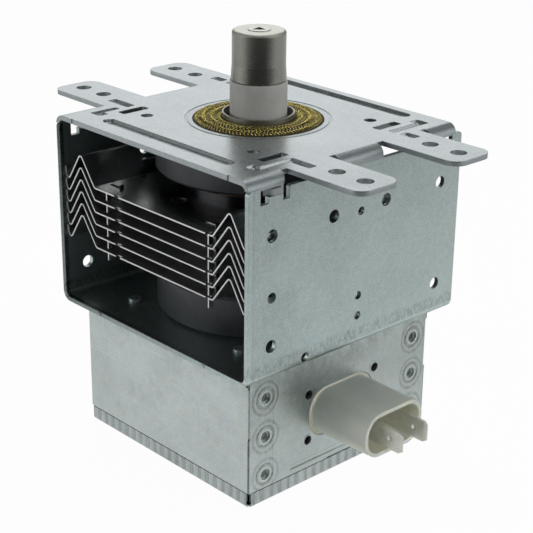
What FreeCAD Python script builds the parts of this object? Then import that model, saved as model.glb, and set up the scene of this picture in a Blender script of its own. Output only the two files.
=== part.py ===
import FreeCAD, Part
import math
import os

# A magnetron of the kind that powers a microwave oven, in millimetres.
# Origin: the antenna's axis, at the upper face of the top plate.
# +Z runs up the antenna, +X out through the connector, -Y out of the front
# opening. The part stands on the lid of its filter box.

V = FreeCAD.Vector
UP = V(0, 0, 1)
ACROSS = V(1, 0, 0)
DEEP = V(0, 1, 0)

# Yoke: a U-shaped lower sheet closed by a top plate
YOKE_SHEET = 1.4
YOKE_BEND = 1.6
YOKE_HALF_WIDTH = 41.35
YOKE_HALF_DEPTH = 41.35
YOKE_HEIGHT = 58.0
WALL_TOP = -3.7
POST_TOP = -2.6
POST_WIDTH = 4.05

# Top plate
PLATE_FRONT_PROUD = 0.05
PLATE_BACK_SETBACK = 2.55
PLATE_WEB = 0.45
PLATE_HOLE_R = 19.0
COIN_R = 20.9
COIN_WIDTH = 0.7
COIN_DEPTH = 0.12
MIDDLE_FLANGE_HALF = 8.3
CORNER_FLANGE_FROM = 27.9
CORNER_FLANGE_LOW_FROM = 29.3
CORNER_FLANGE_BOTTOM = -3.1

# Ears of the top plate
EAR_Y = 18.15
EAR_WIDTH = 15.4
EAR_REACH = 23.85
EAR_CORNER_R = 4.0
EAR_HOLE_R = 2.25
EAR_HOLE_FROM_TIP = 5.8
EAR_HOLE_PITCH = 10.0

# Holes, slots, pressed grooves and beads of the top plate
SMALL_HOLE_R = 1.75
SMALL_HOLE_AT = 22.7
SLOT_FROM_BEND = 8.8
SLOT_WIDTH = 3.1
SLOT_FROM = 17.5
SLOT_TO = 26.9
SLOT_CORNER_R = 0.8
PRESS_LEAN = 0.6
GROOVE_DEPTH = 0.8
GROOVE_CORNER_R = 0.55
ARM_FROM_BEND = 5.05
ARM_WIDTH = 2.3
ARM_END = 33.5
ARM_SHORT_FROM = 24.3
ARM_FOOT_FROM = 30.2
ARM_FOOT_REACH = 2.3
CROSS_ARM_Y = 18.7
CROSS_ARM_WIDTH = 3.0
CROSS_ARM_PAST_BEND = 4.45
CROSS_ARM_GAP = 2.0
BEAD_FROM_EDGE = 7.15
BEAD_HALF_LENGTH = 27.2
BEAD_WIDTH = 3.9
BEAD_DEPTH = 0.9
TICK_FROM_BEND = 4.85
TICK_SIZE = 0.5

# Locks at the plate's corners: a lug of the plate, bent in over the wall between two slots
LOCK_SLOT_FROM = 27.0
LOCK_SLOT_BOTTOM = -7.1
LOCK_SEAT = -5.35
LUG_FROM = 29.3
LUG_TO = 34.4
LUG_TOP = -3.45
LUG_BOTTOM = -5.3
LUG_BRIDGE = 0.9
LUG_BEND_AT = 32.7
LUG_BENT_IN = 1.5
POST_CORNER_R = 1.2
WALL_CORNER_R = 0.8

# Holes in the side walls, and the small ones' places as (along Y, above the yoke's underside)
WALL_HOLE_R = 1.85
WALL_HOLE_Y = 33.0
WALL_HOLE_TOP = -16.25
WALL_HOLE_LOW_RISE = 10.35
WALL_MIDDLE_HOLE_Y = 10.3
GAUGE_HOLE_R = 1.5
GAUGE_HOLES = [(-32.9, 24.35), (-20.0, 3.0)]
PILOT_HOLE_R = 1.2
PILOT_HOLES = [(0.3, 40.8), (0.3, 15.7), (0.3, 9.6)]
NECK_HOLE_R = 12.0
PRESS_MARK_X = 23.6
PRESS_MARK_Y = 28.0
PRESS_MARK_R = 1.9
PRESS_MARK_DEPTH = 0.7
NUB_X = 23.3
NUB_WIDTH = 1.1
NUB_DEPTH = 0.3

# Ring magnets
MAGNET_TO_WALL = 10.2
MAGNET_BORE_R = 11.2
MAGNET_THICKNESS = 12.4
MAGNET_CHAMFER = 0.8

# Anode block
ANODE_R = 21.0
ANODE_WALL = 3.4
POLE_SHEET = 2.0
POLE_BORE_R = 5.0
POLE_LIP_R = 9.0
POLE_DISH = 5.2
SEAL_SHEET = 0.5
SEAL_FLANGE_R = 20.5
SEAL_BEND = 0.1
VANE_COUNT = 10
VANE_THICKNESS = 1.9
VANE_HEIGHT = 9.4
VANE_TIP_R = 4.6
STRAP_SIZE = 0.9
STRAP_RADII = [6.6, 8.4]

# Cooling fins
FIN_COUNT = 6
FIN_SHEET = 0.4
FIN_STACK_RAISE = 0.75
FIN_PITCH = 3.66
FIN_EDGE_SETBACK = 1.55
FIN_FOOT_FROM_ANODE_LEFT = 5.0
FIN_FOOT_FROM_ANODE_RIGHT = 4.6
FIN_CREST_FROM_WALL = 7.55
FIN_CREST_RISE = 8.7
FIN_VALLEY_FROM_WALL_LEFT = 0.95
FIN_VALLEY_FROM_WALL_RIGHT = 1.2
FIN_VALLEY_DROP_LEFT = 1.2
FIN_VALLEY_DROP_RIGHT = 1.3
FIN_LIP_FROM = 2.0
FIN_LIP_RISE = 3.3
FIN_BEND = 0.7
FIN_SLIT = 0.6
FIN_COLLAR_HEIGHT = 1.8
FIN_COLLAR_WALL = 0.5
FIN_TAB_DEPTH = 1.5
FIN_TAB_FROM_FOOT_LEFT = 5.7
FIN_TAB_LEFT_DROP = 2.1
FIN_TAB_FROM_FOOT_RIGHT = 1.7
FIN_TAB_RIGHT_DROP = 2.6
FIN_NOTCH_FROM_FOOT = 10.2
FIN_NOTCH_WIDTH = 2.0
FIN_NOTCH_DEPTH = 1.0
FIN_CUT_WIDTH = 1.0
FIN_LANCE_FROM_EDGE = 5.4
FIN_LANCE_FROM_FOOT_LEFT = 5.6
FIN_LANCE_FROM_FOOT_RIGHT = 4.4
FIN_LANCE_LENGTH = 4.8
FIN_LANCE_WIDTH = 1.3
FIN_LANCE_RISE = 1.0
FIN_HOLE_X = -1.5
FIN_HOLE_FROM_EDGE = 11.2
FIN_HOLE_R = 2.4

# Output end: sleeve, ceramic, exhaust tube, cap and gasket
SLEEVE_R = 10.5
SLEEVE_TOP = 2.1
CERAMIC_BOTTOM = -3.5
SEAT_BORE_R = 6.9
SEAT_LENGTH = 3.5
CERAMIC_R = 8.25
CERAMIC_WALL = 2.1
CERAMIC_TOP = 11.4
CERAMIC_CHAMFER = 0.2
RING_WALL = 0.6
RING_HEIGHT = 5.0
EXHAUST_R = 2.6
EXHAUST_WALL = 0.6
EXHAUST_TOP = 22.5
EXHAUST_TAIL = 2.0
PINCH_LENGTH = 4.0
PINCH_SOLID = 3.0
PINCH_HALF = 0.5
CAP_R = 7.72
CAP_WALL = 0.6
CAP_TOP = 25.75
CAP_SHOULDER_R = 0.9
CAP_SKIRT_R = 8.0
CAP_SKIRT_HEIGHT = 4.6
CAP_GAP = 0.2
CAP_BOSS_R = 3.3
CAP_BOSS_HEIGHT = 0.15
CAP_HOLE_R = 2.3
CAP_HOLE_CORNER_R = 0.3
LEAD_R = 0.8
LEAD_OFFSET = 7.5
LEAD_KNEE_LOW = -11.0
LEAD_KNEE_TOP = -6.0
LEAD_TOP = 19.0
LEAD_HOLE_R = 1.6
GASKET_OUTER_R = 18.8
GASKET_CLEARANCE = 0.1
GASKET_CROWN = 1.0
GASKET_INNER_TOP = 0.45
GASKET_EDGE_TOP = 0.1

# Cathode
FILAMENT_R = 1.95
FILAMENT_WIRE = 0.6
FILAMENT_TURNS = 6
HAT_R = 3.5
HAT_THICKNESS = 1.3
HAT_HUB_R = 2.3
CATHODE_LEAD_R = 0.7
SIDE_LEAD_X = 2.7
STEM_SLEEVE_R = 9.0
STEM_BELOW_YOKE = 4.0
STEM_HEIGHT = 9.0
STEM_CHAMFER = 0.6
STEM_SEAT_R = 6.5
STEM_LEAD_TAIL = 1.2
LUG_THICKNESS = 0.8
LUG_R = 2.0
LUG_REACH = 9.0

# Filter box: a folded case, a clinched side plate and a crimped lid
BOX_SIDE_SETBACK = 4.69
BOX_FRONT_SETBACK = 5.09
BOX_SHEET = 0.6
BOX_CORNER_R = 1.2
BOX_SEAM_BELOW_YOKE = 35.9
BOX_STEP = 0.75
BOX_SKIRT_LENGTH = 3.7
BOX_FLANGE = 9.2
BOX_RELIEF = 1.3
BOX_RELIEF_HEIGHT = 3.0
SIDE_PLATE_RISE = 0.4
SIDE_PLATE_RISE_HALF = 5.5
SIDE_NOTCH_FROM_TOP = 3.5
SIDE_NOTCH_LENGTH = 15.7
SIDE_NOTCH_DEPTH = 0.5
SIDE_RIB_ABOVE_SEAM = 2.4
SIDE_RIB_HALF = 20.2
SIDE_RIB_WIDTH = 1.3
SIDE_RIB_DEPTH = 0.25
LID_SHEET = 0.5
LID_BELOW_SEAM = 4.95
LID_BEND = 0.9
LID_RIM = 4.0
LID_CORNER_GAP = 1.4
LID_SEAM_GAP = 0.25
FLUTE_PITCH = 3.4
FLUTE_R = 1.9
FLUTE_DEPTH = 0.38

# Clinch joints of the side plate
CLINCH_FROM_EDGE = 6.21
CLINCH_BELOW_YOKE = 7.9
CLINCH_PITCH = 11.95
CLINCH_ROWS = 3
CLINCH_R = 1.75
CLINCH_DEPTH = 1.0
CLINCH_WALL = 0.35
CLINCH_RING_R = 3.1
CLINCH_RING_WIDTH = 0.45
CLINCH_RING_HEIGHT = 0.12

# Connector and feed-through capacitor
SOCKET_BELOW_YOKE = 19.73
SOCKET_HALF_WIDTH = 11.6
SOCKET_HALF_HEIGHT = 6.75
SOCKET_CORNER_R = 6.0
SOCKET_WALL = 1.15
SOCKET_REACH = 20.64
SOCKET_DRAFT = 0.35
SOCKET_FLOOR_PROUD = 3.34
SOCKET_FOOT_HALF_WIDTH = 13.0
SOCKET_FOOT_HALF_HEIGHT = 7.55
SOCKET_FOOT_CORNER_R = 6.6
SOCKET_FOOT_PROUD = 0.15
WINDOW_CLEARANCE = 0.15
EYELET_Y = 13.5
EYELET_Z = 7.25
EYELET_R = 1.4
EYELET_RIM = 0.4
EYELET_RIM_HEIGHT = 0.12
EARTH_SHEET = 0.8
EARTH_HALF_WIDTH = 17.0
EARTH_HALF_HEIGHT = 10.6
EARTH_CORNER_R = 3.0
CAPACITOR_HALF_WIDTH = 11.0
CAPACITOR_HALF_HEIGHT = 6.2
CAPACITOR_LENGTH = 13.66
TAB_Y = 5.05
TAB_WIDTH = 6.3
TAB_THICKNESS = 0.8
TAB_PAST_SOCKET = 7.9
TAB_TAIL_LENGTH = 4.0
TAB_TIP_CHAMFER = 1.3
TAB_BEVEL = 0.25
TAB_BEVEL_LENGTH = 1.0
TAB_HOLE_FROM_TIP = 4.6
TAB_HOLE_R = 0.85

# Choke coils between the cathode lugs and the capacitor
CHOKE_CORE_R = 2.4
CHOKE_WIRE = 1.4
CHOKE_TURNS = 6
CHOKE_FROM_X = -9.0
CHOKE_LENGTH = 16.0
CHOKE_Y = 12.0
CHOKE_BELOW_YOKE = 25.5
CHOKE_CLEARANCE = 0.15
SOLDER_SWELL = 1.12
JOIN_TOLERANCE = 0.001

# Places that follow from the sizes above
PLATE_UNDER = -YOKE_SHEET
PLATE_FRONT = YOKE_HALF_DEPTH + PLATE_FRONT_PROUD
PLATE_BACK = YOKE_HALF_DEPTH - PLATE_BACK_SETBACK
BEND_START = YOKE_HALF_WIDTH - YOKE_BEND - YOKE_SHEET
WALL_INSIDE = YOKE_HALF_WIDTH - YOKE_SHEET
WALL_MIDDLE = YOKE_HALF_WIDTH - YOKE_SHEET / 2
YOKE_FLOOR = YOKE_SHEET - YOKE_HEIGHT
WALL_HOLE_LOW = WALL_HOLE_LOW_RISE - YOKE_HEIGHT
POST_FROM = YOKE_HALF_DEPTH - POST_WIDTH
EAR_TIP = YOKE_HALF_WIDTH + EAR_REACH
EAR_HOLE_OUTER_X = EAR_TIP - EAR_HOLE_FROM_TIP
EAR_HOLE_INNER_X = EAR_HOLE_OUTER_X - EAR_HOLE_PITCH
SLOT_X = BEND_START - SLOT_FROM_BEND
ARM_X = BEND_START - ARM_FROM_BEND
CROSS_ARM_END = BEND_START + CROSS_ARM_PAST_BEND
BEAD_Y = YOKE_HALF_DEPTH - BEAD_FROM_EDGE
TICK_X = BEND_START - TICK_FROM_BEND
MAGNET_R = WALL_INSIDE - MAGNET_TO_WALL
UPPER_MAGNET_FACE = PLATE_UNDER - MAGNET_THICKNESS
LOWER_MAGNET_FACE = YOKE_FLOOR + MAGNET_THICKNESS
ANODE_TOP = UPPER_MAGNET_FACE - SEAL_SHEET - POLE_SHEET
ANODE_BOTTOM = LOWER_MAGNET_FACE + SEAL_SHEET + POLE_SHEET
ANODE_MIDDLE = (ANODE_TOP + ANODE_BOTTOM) / 2
VANE_TOP = ANODE_MIDDLE + VANE_HEIGHT / 2
VANE_BOTTOM = ANODE_MIDDLE - VANE_HEIGHT / 2
FIN_HALF_DEPTH = YOKE_HALF_DEPTH - FIN_EDGE_SETBACK
FIN_FOOT_LEFT = ANODE_R + FIN_FOOT_FROM_ANODE_LEFT
FIN_FOOT_RIGHT = ANODE_R + FIN_FOOT_FROM_ANODE_RIGHT
FIN_TOP_Z = ANODE_MIDDLE + FIN_STACK_RAISE + FIN_PITCH * (FIN_COUNT - 1) / 2
BOX_TOP = -YOKE_HEIGHT
BOX_SEAM = BOX_TOP - BOX_SEAM_BELOW_YOKE
BOX_SKIRT_INSIDE = BOX_SEAM - BOX_SKIRT_LENGTH
BOX_HALF_WIDTH = YOKE_HALF_WIDTH - BOX_SIDE_SETBACK
BOX_HALF_DEPTH = YOKE_HALF_DEPTH - BOX_FRONT_SETBACK
PLATE_INSIDE_X = BOX_HALF_WIDTH - BOX_SHEET
LID_BOTTOM = BOX_SEAM - LID_BELOW_SEAM
SIDE_RIB_Z = BOX_SEAM + SIDE_RIB_ABOVE_SEAM
CLINCH_Y = BOX_HALF_DEPTH - CLINCH_FROM_EDGE
CLINCH_TOP = BOX_TOP - CLINCH_BELOW_YOKE
STEM_TOP = BOX_TOP - STEM_BELOW_YOKE
STEM_BOTTOM = STEM_TOP - STEM_HEIGHT
CHOKE_Z = BOX_TOP - CHOKE_BELOW_YOKE
SOCKET_Z = BOX_TOP - SOCKET_BELOW_YOKE
SOCKET_TIP = BOX_HALF_WIDTH + SOCKET_REACH
SOCKET_FLOOR = BOX_HALF_WIDTH + SOCKET_FLOOR_PROUD
CAPACITOR_BACK = BOX_HALF_WIDTH - CAPACITOR_LENGTH
TAB_TIP = SOCKET_TIP + TAB_PAST_SOCKET
TAB_TAIL = CAPACITOR_BACK - TAB_TAIL_LENGTH


def box(x0, x1, y0, y1, z0, z1):
    """Block between two opposite corners."""
    return Part.makeBox(x1 - x0, y1 - y0, z1 - z0, V(x0, y0, z0))


def rod(radius, z0, z1, x=0, y=0):
    """Upright cylinder."""
    return Part.makeCylinder(radius, z1 - z0, V(x, y, z0), UP)


def rod_x(radius, x0, x1, y, z):
    """Cylinder that lies along X."""
    return Part.makeCylinder(radius, x1 - x0, V(x0, y, z), ACROSS)


def tube(outer, inner, z0, z1):
    """Upright tube on the antenna's axis."""
    return rod(outer, z0, z1).cut(rod(inner, z0, z1))


def fuse_all(shapes):
    """One solid from pieces that meet, with its coplanar faces merged."""
    whole = shapes[0]
    if len(shapes) > 1:
        whole = whole.fuse(shapes[1:])
    return whole.removeSplitter()


def cut_all(shape, tools):
    """A solid with every tool taken out of it."""
    return shape.cut(Part.makeCompound(tools))


def corners(places):
    """Mirrors (x, y) into all four quadrants."""
    x, y = places
    return [(sx * x, sy * y) for sx in (-1, 1) for sy in (-1, 1)]


def turned(profile):
    """Solid of revolution about the antenna's axis from (radius, height) points."""
    points = [V(r, 0, z) for r, z in profile]
    face = Part.Face(Part.makePolygon(points + points[:1]))
    return face.revolve(V(0, 0, 0), UP, 360)


def prism_xz(points, y0, y1):
    """Prism along Y from (x, z) points."""
    corner = [V(x, y0, z) for x, z in points]
    return Part.Face(Part.makePolygon(corner + corner[:1])).extrude(DEEP * (y1 - y0))


def rounded_slab(half_u, half_v, radius, place, thickness):
    """Rounded rectangle centred on a place, extruded along the place's own Z."""
    edges = []
    for su, sv, start in [(1, 1, 0), (-1, 1, 90), (-1, -1, 180), (1, -1, 270)]:
        centre = V(su * (half_u - radius), sv * (half_v - radius), 0)
        arc = Part.ArcOfCircle(Part.Circle(centre, UP, radius), math.radians(start), math.radians(start + 90))
        edges.append(arc.toShape())
    outline = []
    for edge, following in zip(edges, edges[1:] + edges[:1]):
        outline.append(edge)
        here = edge.valueAt(edge.LastParameter)
        there = following.valueAt(following.FirstParameter)
        if here.distanceToPoint(there) > 1e-6:
            outline.append(Part.makeLine(here, there))
    slab = Part.Face(Part.Wire(outline)).extrude(UP * thickness)
    slab.Placement = place
    return slab


def flat_place(x, y, z):
    """Placement whose local axes are X, Y and Z."""
    return FreeCAD.Placement(V(x, y, z), FreeCAD.Rotation())


def facing_x(x, y, z):
    """Placement whose local axes are Y, Z and X, for shapes on the connector's side."""
    return FreeCAD.Placement(V(x, y, z), FreeCAD.Rotation(DEEP, UP, ACROSS, "ZXY"))


def turn_at(before, corner, after, middle_radius, side):
    """Start, middle and end of one bend of a sheet, at a distance to the left of its middle line."""
    into = (corner - before).normalize()
    out = (after - corner).normalize()
    left_in = V(-into.y, into.x, 0)
    left_out = V(-out.y, out.x, 0)
    bend = math.atan2(into.cross(out).z, into.dot(out))
    hand = 1 if bend > 0 else -1
    reach = middle_radius * math.tan(abs(bend) / 2)
    start = corner - into * reach
    centre = start + left_in * (middle_radius * hand)
    radial = (corner - centre).normalize()
    return (
        start + left_in * side,
        centre + radial * (middle_radius - side * hand),
        corner + out * reach + left_out * side,
    )


def sheet_side(points, bend, sheet, side):
    """Lines and arcs of one face of a folded sheet, from its middle line."""
    edges = []
    first = (points[1] - points[0]).normalize()
    last = (points[-1] - points[-2]).normalize()
    here = points[0] + V(-first.y, first.x, 0) * side
    for before, corner, after in zip(points, points[1:], points[2:]):
        start, middle, end = turn_at(before, corner, after, bend + sheet / 2, side)
        if here.distanceToPoint(start) > 1e-6:
            edges.append(Part.makeLine(here, start))
        edges.append(Part.Arc(start, middle, end).toShape())
        here = end
    edges.append(Part.makeLine(here, points[-1] + V(-last.y, last.x, 0) * side))
    return edges


def folded(path, bend, sheet):
    """Section of a folded sheet, flat in the local XY plane, from (u, v) points on its middle line."""
    points = [V(u, v, 0) for u, v in path]
    left = sheet_side(points, bend, sheet, sheet / 2)
    right = sheet_side(points, bend, sheet, -sheet / 2)
    cap_start = Part.makeLine(left[0].Vertexes[0].Point, right[0].Vertexes[0].Point)
    cap_end = Part.makeLine(left[-1].Vertexes[-1].Point, right[-1].Vertexes[-1].Point)
    loops = Part.sortEdges(left + [cap_end] + right + [cap_start])
    return Part.Face(Part.Wire(loops[0]))


def folded_along_y(path, bend, sheet, y0, y1):
    """Folded sheet whose section lies in XZ, from one Y to another."""
    strip = folded(path, bend, sheet).extrude(UP * (y1 - y0))
    strip.Placement = FreeCAD.Placement(V(0, y1, 0), FreeCAD.Rotation(ACROSS, UP, -DEEP, "ZXY"))
    return strip


def folded_along_x(path, bend, sheet, x0, x1):
    """Folded sheet whose section lies in YZ, from one X to another."""
    strip = folded(path, bend, sheet).extrude(UP * (x1 - x0))
    strip.Placement = FreeCAD.Placement(V(x0, 0, 0), FreeCAD.Rotation(DEEP, UP, ACROSS, "ZXY"))
    return strip


def spun_sheet(path, bend, sheet):
    """Drawn sheet turned about the antenna's axis, from (radius, height) points."""
    section = folded(path, bend, sheet)
    section.rotate(V(0, 0, 0), ACROSS, 90)
    return section.revolve(V(0, 0, 0), UP, 360)


def coil(radius, wire, turns, length):
    """Round wire wound about the local Z axis, starting at Z = 0."""
    helix = Part.makeHelix(length / turns, length, radius)
    circle = Part.Wire(Part.Circle(V(radius, 0, 0), DEEP, wire / 2).toShape())
    return Part.Wire(helix).makePipeShell([circle], True, True)


def bent_wire(points, radius):
    """Round wire that runs straight from point to point, a little thicker at each joint."""
    pieces = []
    for start, end in zip(points, points[1:]):
        pieces.append(Part.makeCylinder(radius, start.distanceToPoint(end), start, end - start))
    pieces += [Part.makeSphere(radius * SOLDER_SWELL, point) for point in points]
    return pieces


def ear(side_x, side_y):
    """One mounting ear of the top plate, with its two holes."""
    length = EAR_TIP - BEND_START + EAR_CORNER_R
    blank = rounded_slab(
        length / 2, EAR_WIDTH / 2, EAR_CORNER_R,
        flat_place(side_x * (EAR_TIP - length / 2), side_y * EAR_Y, PLATE_UNDER), YOKE_SHEET,
    )
    holes = [
        rod(EAR_HOLE_R, PLATE_UNDER, 0, side_x * x, side_y * EAR_Y)
        for x in (EAR_HOLE_INNER_X, EAR_HOLE_OUTER_X)
    ]
    return cut_all(blank, holes)


def flange(side_x, y0, y1, bottom):
    """Edge of the top plate that is folded down onto a side wall."""
    half = -YOKE_SHEET / 2
    path = [(side_x * (BEND_START - 1), half), (side_x * WALL_MIDDLE, half), (side_x * WALL_MIDDLE, bottom)]
    return folded_along_y(path, YOKE_BEND, YOKE_SHEET, y0, y1)


def corner_flange(side_x, side_y):
    """Folded edge outside an ear, slanted at its inner end, with a step over the wall's corner post."""
    end = PLATE_FRONT if side_y < 0 else PLATE_BACK
    inner = sorted([side_y * CORNER_FLANGE_FROM, side_y * end])
    strip = flange(side_x, inner[0], inner[1], CORNER_FLANGE_BOTTOM)
    x0, x1 = sorted([side_x * BEND_START, side_x * (YOKE_HALF_WIDTH + 1)])
    step_y = sorted([side_y * POST_FROM, side_y * (PLATE_FRONT + 1)])
    step = box(x0, x1, step_y[0], step_y[1], CORNER_FLANGE_BOTTOM - 1, POST_TOP)
    slant = Part.Face(Part.makePolygon([
        V(x0, side_y * CORNER_FLANGE_FROM, 0),
        V(x0, side_y * CORNER_FLANGE_LOW_FROM, CORNER_FLANGE_BOTTOM),
        V(x0, side_y * CORNER_FLANGE_FROM, CORNER_FLANGE_BOTTOM),
        V(x0, side_y * CORNER_FLANGE_FROM, 0),
    ])).extrude(ACROSS * (x1 - x0))
    return cut_all(strip, [step, slant])


def locking_lug(side_x, side_y):
    """Lug under a corner flange: hung from a short bridge, its free end bent in over the wall."""
    path = [
        (side_x * WALL_MIDDLE, side_y * LUG_FROM),
        (side_x * WALL_MIDDLE, side_y * LUG_BEND_AT),
        (side_x * (WALL_MIDDLE - LUG_BENT_IN), side_y * LUG_TO),
    ]
    strip = folded(path, YOKE_BEND / 2, YOKE_SHEET).extrude(UP * (LUG_TOP - LUG_BOTTOM))
    strip.translate(UP * LUG_BOTTOM)
    xs = sorted([side_x * WALL_INSIDE, side_x * YOKE_HALF_WIDTH])
    ys = sorted([side_y * LUG_FROM, side_y * (LUG_FROM + LUG_BRIDGE)])
    bridge = box(xs[0], xs[1], ys[0], ys[1], LUG_TOP, CORNER_FLANGE_BOTTOM)
    return strip.fuse(bridge)


def web(side_x, side_y, y0, y1):
    """Narrow edge of the plate between an ear and a folded edge."""
    xs = sorted([side_x * BEND_START, side_x * (BEND_START + PLATE_WEB)])
    ys = sorted([side_y * y0, side_y * y1])
    return box(xs[0], xs[1], ys[0], ys[1], PLATE_UNDER, 0)


def pressed(x0, x1, y0, y1, radius, top, depth):
    """Rounded rectangle pressed down from a level, with sides that lean in."""
    half_x = (x1 - x0) / 2
    half_y = (y1 - y0) / 2
    sections = []
    for inset, z in ((0, top), (depth * PRESS_LEAN, top - depth)):
        corner = min(radius, half_y - inset - 0.01)
        place = flat_place((x0 + x1) / 2, (y0 + y1) / 2, z)
        slab = rounded_slab(half_x - inset, half_y - inset, corner, place, 1)
        sections.append(slab.Faces[-2].OuterWire)
    return Part.makeLoft(sections, True, True)


def corner_groove(side_x, side_y, arm_from, cross_from, top):
    """Angled groove at an ear's root: an arm with a wide foot, and a cross arm out to the ear."""
    def part(x0, x1, y0, y1):
        xs = sorted([side_x * x0, side_x * x1])
        ys = sorted([side_y * y0, side_y * y1])
        return pressed(xs[0], xs[1], ys[0], ys[1], GROOVE_CORNER_R, top, GROOVE_DEPTH)

    arm = part(ARM_X, ARM_X + ARM_WIDTH, arm_from, ARM_END)
    foot = part(ARM_X - ARM_FOOT_REACH, ARM_X + ARM_WIDTH, ARM_FOOT_FROM, ARM_END)
    cross = part(cross_from, CROSS_ARM_END, CROSS_ARM_Y, CROSS_ARM_Y + CROSS_ARM_WIDTH)
    return fuse_all([arm, foot, cross])


def pressings(top):
    """Every groove and bead of the plate, pressed down from a level."""
    beyond = ARM_X + ARM_WIDTH + CROSS_ARM_GAP
    shapes = [
        corner_groove(1, -1, CROSS_ARM_Y, ARM_X, top),
        corner_groove(-1, -1, ARM_SHORT_FROM, ARM_X, top),
        corner_groove(1, 1, CROSS_ARM_Y, beyond, top),
        corner_groove(-1, 1, CROSS_ARM_Y, beyond, top),
    ]
    half = BEAD_WIDTH / 2
    for sy in (-1, 1):
        y = sy * BEAD_Y
        shapes.append(pressed(-BEAD_HALF_LENGTH, BEAD_HALF_LENGTH, y - half, y + half, half, top, BEAD_DEPTH))
    return shapes


def upper_yoke():
    """Top plate with ears, folded edges, slots, beads and the gasket's hole."""
    plate = box(-BEND_START, BEND_START, -PLATE_FRONT, PLATE_BACK, PLATE_UNDER, 0)
    pieces = [plate]
    for sx in (-1, 1):
        pieces.append(flange(sx, -MIDDLE_FLANGE_HALF, MIDDLE_FLANGE_HALF, WALL_TOP))
        for sy in (-1, 1):
            pieces.append(ear(sx, sy))
            pieces.append(corner_flange(sx, sy))
            pieces.append(locking_lug(sx, sy))
            pieces.append(web(sx, sy, MIDDLE_FLANGE_HALF, EAR_Y - EAR_WIDTH / 2))
            pieces.append(web(sx, sy, EAR_Y + EAR_WIDTH / 2, CORNER_FLANGE_FROM))
    whole = fuse_all(pieces + pressings(PLATE_UNDER))

    tools = [rod(PLATE_HOLE_R, PLATE_UNDER, 0)]
    tools.append(tube(COIN_R + COIN_WIDTH / 2, COIN_R - COIN_WIDTH / 2, -COIN_DEPTH, 1))
    for sx in (-1, 1):
        for sy in (-1, 1):
            slot_y = sy * (SLOT_FROM + SLOT_TO) / 2
            tools.append(rounded_slab(
                SLOT_WIDTH / 2, (SLOT_TO - SLOT_FROM) / 2, SLOT_CORNER_R,
                flat_place(sx * SLOT_X, slot_y, PLATE_UNDER), YOKE_SHEET,
            ))
        tools.append(box(
            sx * TICK_X - TICK_SIZE / 2, sx * TICK_X + TICK_SIZE / 2,
            -PLATE_FRONT, -PLATE_FRONT + TICK_SIZE, PLATE_UNDER, 0,
        ))
    for x, y in corners((SMALL_HOLE_AT, SMALL_HOLE_AT)):
        tools.append(rod(SMALL_HOLE_R, PLATE_UNDER, 0, x, y))
    return cut_all(whole, tools + pressings(0))


def wall_holes(side_x):
    """Every round hole of one side wall."""
    x0, x1 = sorted([side_x * (BEND_START - 1), side_x * (YOKE_HALF_WIDTH + 1)])
    holes = []
    for sy in (-1, 1):
        for z in (WALL_HOLE_TOP, WALL_HOLE_LOW):
            holes.append(rod_x(WALL_HOLE_R, x0, x1, sy * WALL_HOLE_Y, z))
        holes.append(rod_x(WALL_HOLE_R, x0, x1, sy * WALL_MIDDLE_HOLE_Y, WALL_HOLE_TOP))
    if side_x > 0:
        holes += [rod_x(GAUGE_HOLE_R, x0, x1, y, rise - YOKE_HEIGHT) for y, rise in GAUGE_HOLES]
    holes += [rod_x(PILOT_HOLE_R, x0, x1, y, rise - YOKE_HEIGHT) for y, rise in PILOT_HOLES]
    return holes


def edges_along_x(shape, half_y, z):
    """Short edges along X at one height, at the same distance from the middle on both sides."""
    return [
        edge for edge in shape.Edges
        if edge.BoundBox.YLength + edge.BoundBox.ZLength < 1e-6
        and abs(abs(edge.BoundBox.YMin) - half_y) < 1e-6
        and abs(edge.BoundBox.ZMin - z) < 1e-6
    ]


def lower_yoke():
    """U-shaped yoke with its corner posts, the locks' slots and holes."""
    floor = YOKE_SHEET / 2 - YOKE_HEIGHT
    path = [(-WALL_MIDDLE, POST_TOP), (-WALL_MIDDLE, floor), (WALL_MIDDLE, floor), (WALL_MIDDLE, POST_TOP)]
    sheet = folded_along_y(path, YOKE_BEND, YOKE_SHEET, -YOKE_HALF_DEPTH, YOKE_HALF_DEPTH)
    beyond = YOKE_HALF_WIDTH + 1
    tools = [box(-beyond, beyond, -POST_FROM, POST_FROM, WALL_TOP, 0)]
    for sy in (-1, 1):
        for near, far, bottom in (
            (LOCK_SLOT_FROM, LUG_FROM, LOCK_SLOT_BOTTOM),
            (LUG_FROM, LUG_TO, LOCK_SEAT),
            (LUG_TO, POST_FROM, LOCK_SLOT_BOTTOM),
        ):
            ys = sorted([sy * near, sy * far])
            tools.append(box(-beyond, beyond, ys[0], ys[1], bottom, WALL_TOP))
    tools.append(rod(NECK_HOLE_R, -YOKE_HEIGHT, YOKE_FLOOR))
    sheet = cut_all(sheet, tools)
    sheet = sheet.makeFillet(POST_CORNER_R, edges_along_x(sheet, YOKE_HALF_DEPTH, POST_TOP))
    sheet = sheet.makeFillet(WALL_CORNER_R, edges_along_x(sheet, LOCK_SLOT_FROM, WALL_TOP))
    pieces = [sheet]
    for sx in (-1, 1):
        pieces.append(box(
            sx * NUB_X - NUB_WIDTH / 2, sx * NUB_X + NUB_WIDTH / 2,
            -YOKE_HALF_DEPTH - NUB_DEPTH, -YOKE_HALF_DEPTH + 0.5, -YOKE_HEIGHT + 0.3, YOKE_FLOOR - 0.2,
        ))
    for x, y in corners((PRESS_MARK_X, PRESS_MARK_Y)):
        pieces.append(rod(PRESS_MARK_R, YOKE_FLOOR, YOKE_FLOOR + PRESS_MARK_DEPTH, x, y))
    sheet = fuse_all(pieces)
    tools = wall_holes(-1) + wall_holes(1)
    for x, y in corners((PRESS_MARK_X, PRESS_MARK_Y)):
        tools.append(rod(PRESS_MARK_R - 0.5, -YOKE_HEIGHT, YOKE_FLOOR - 0.3, x, y))
    return cut_all(sheet, tools)


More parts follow.
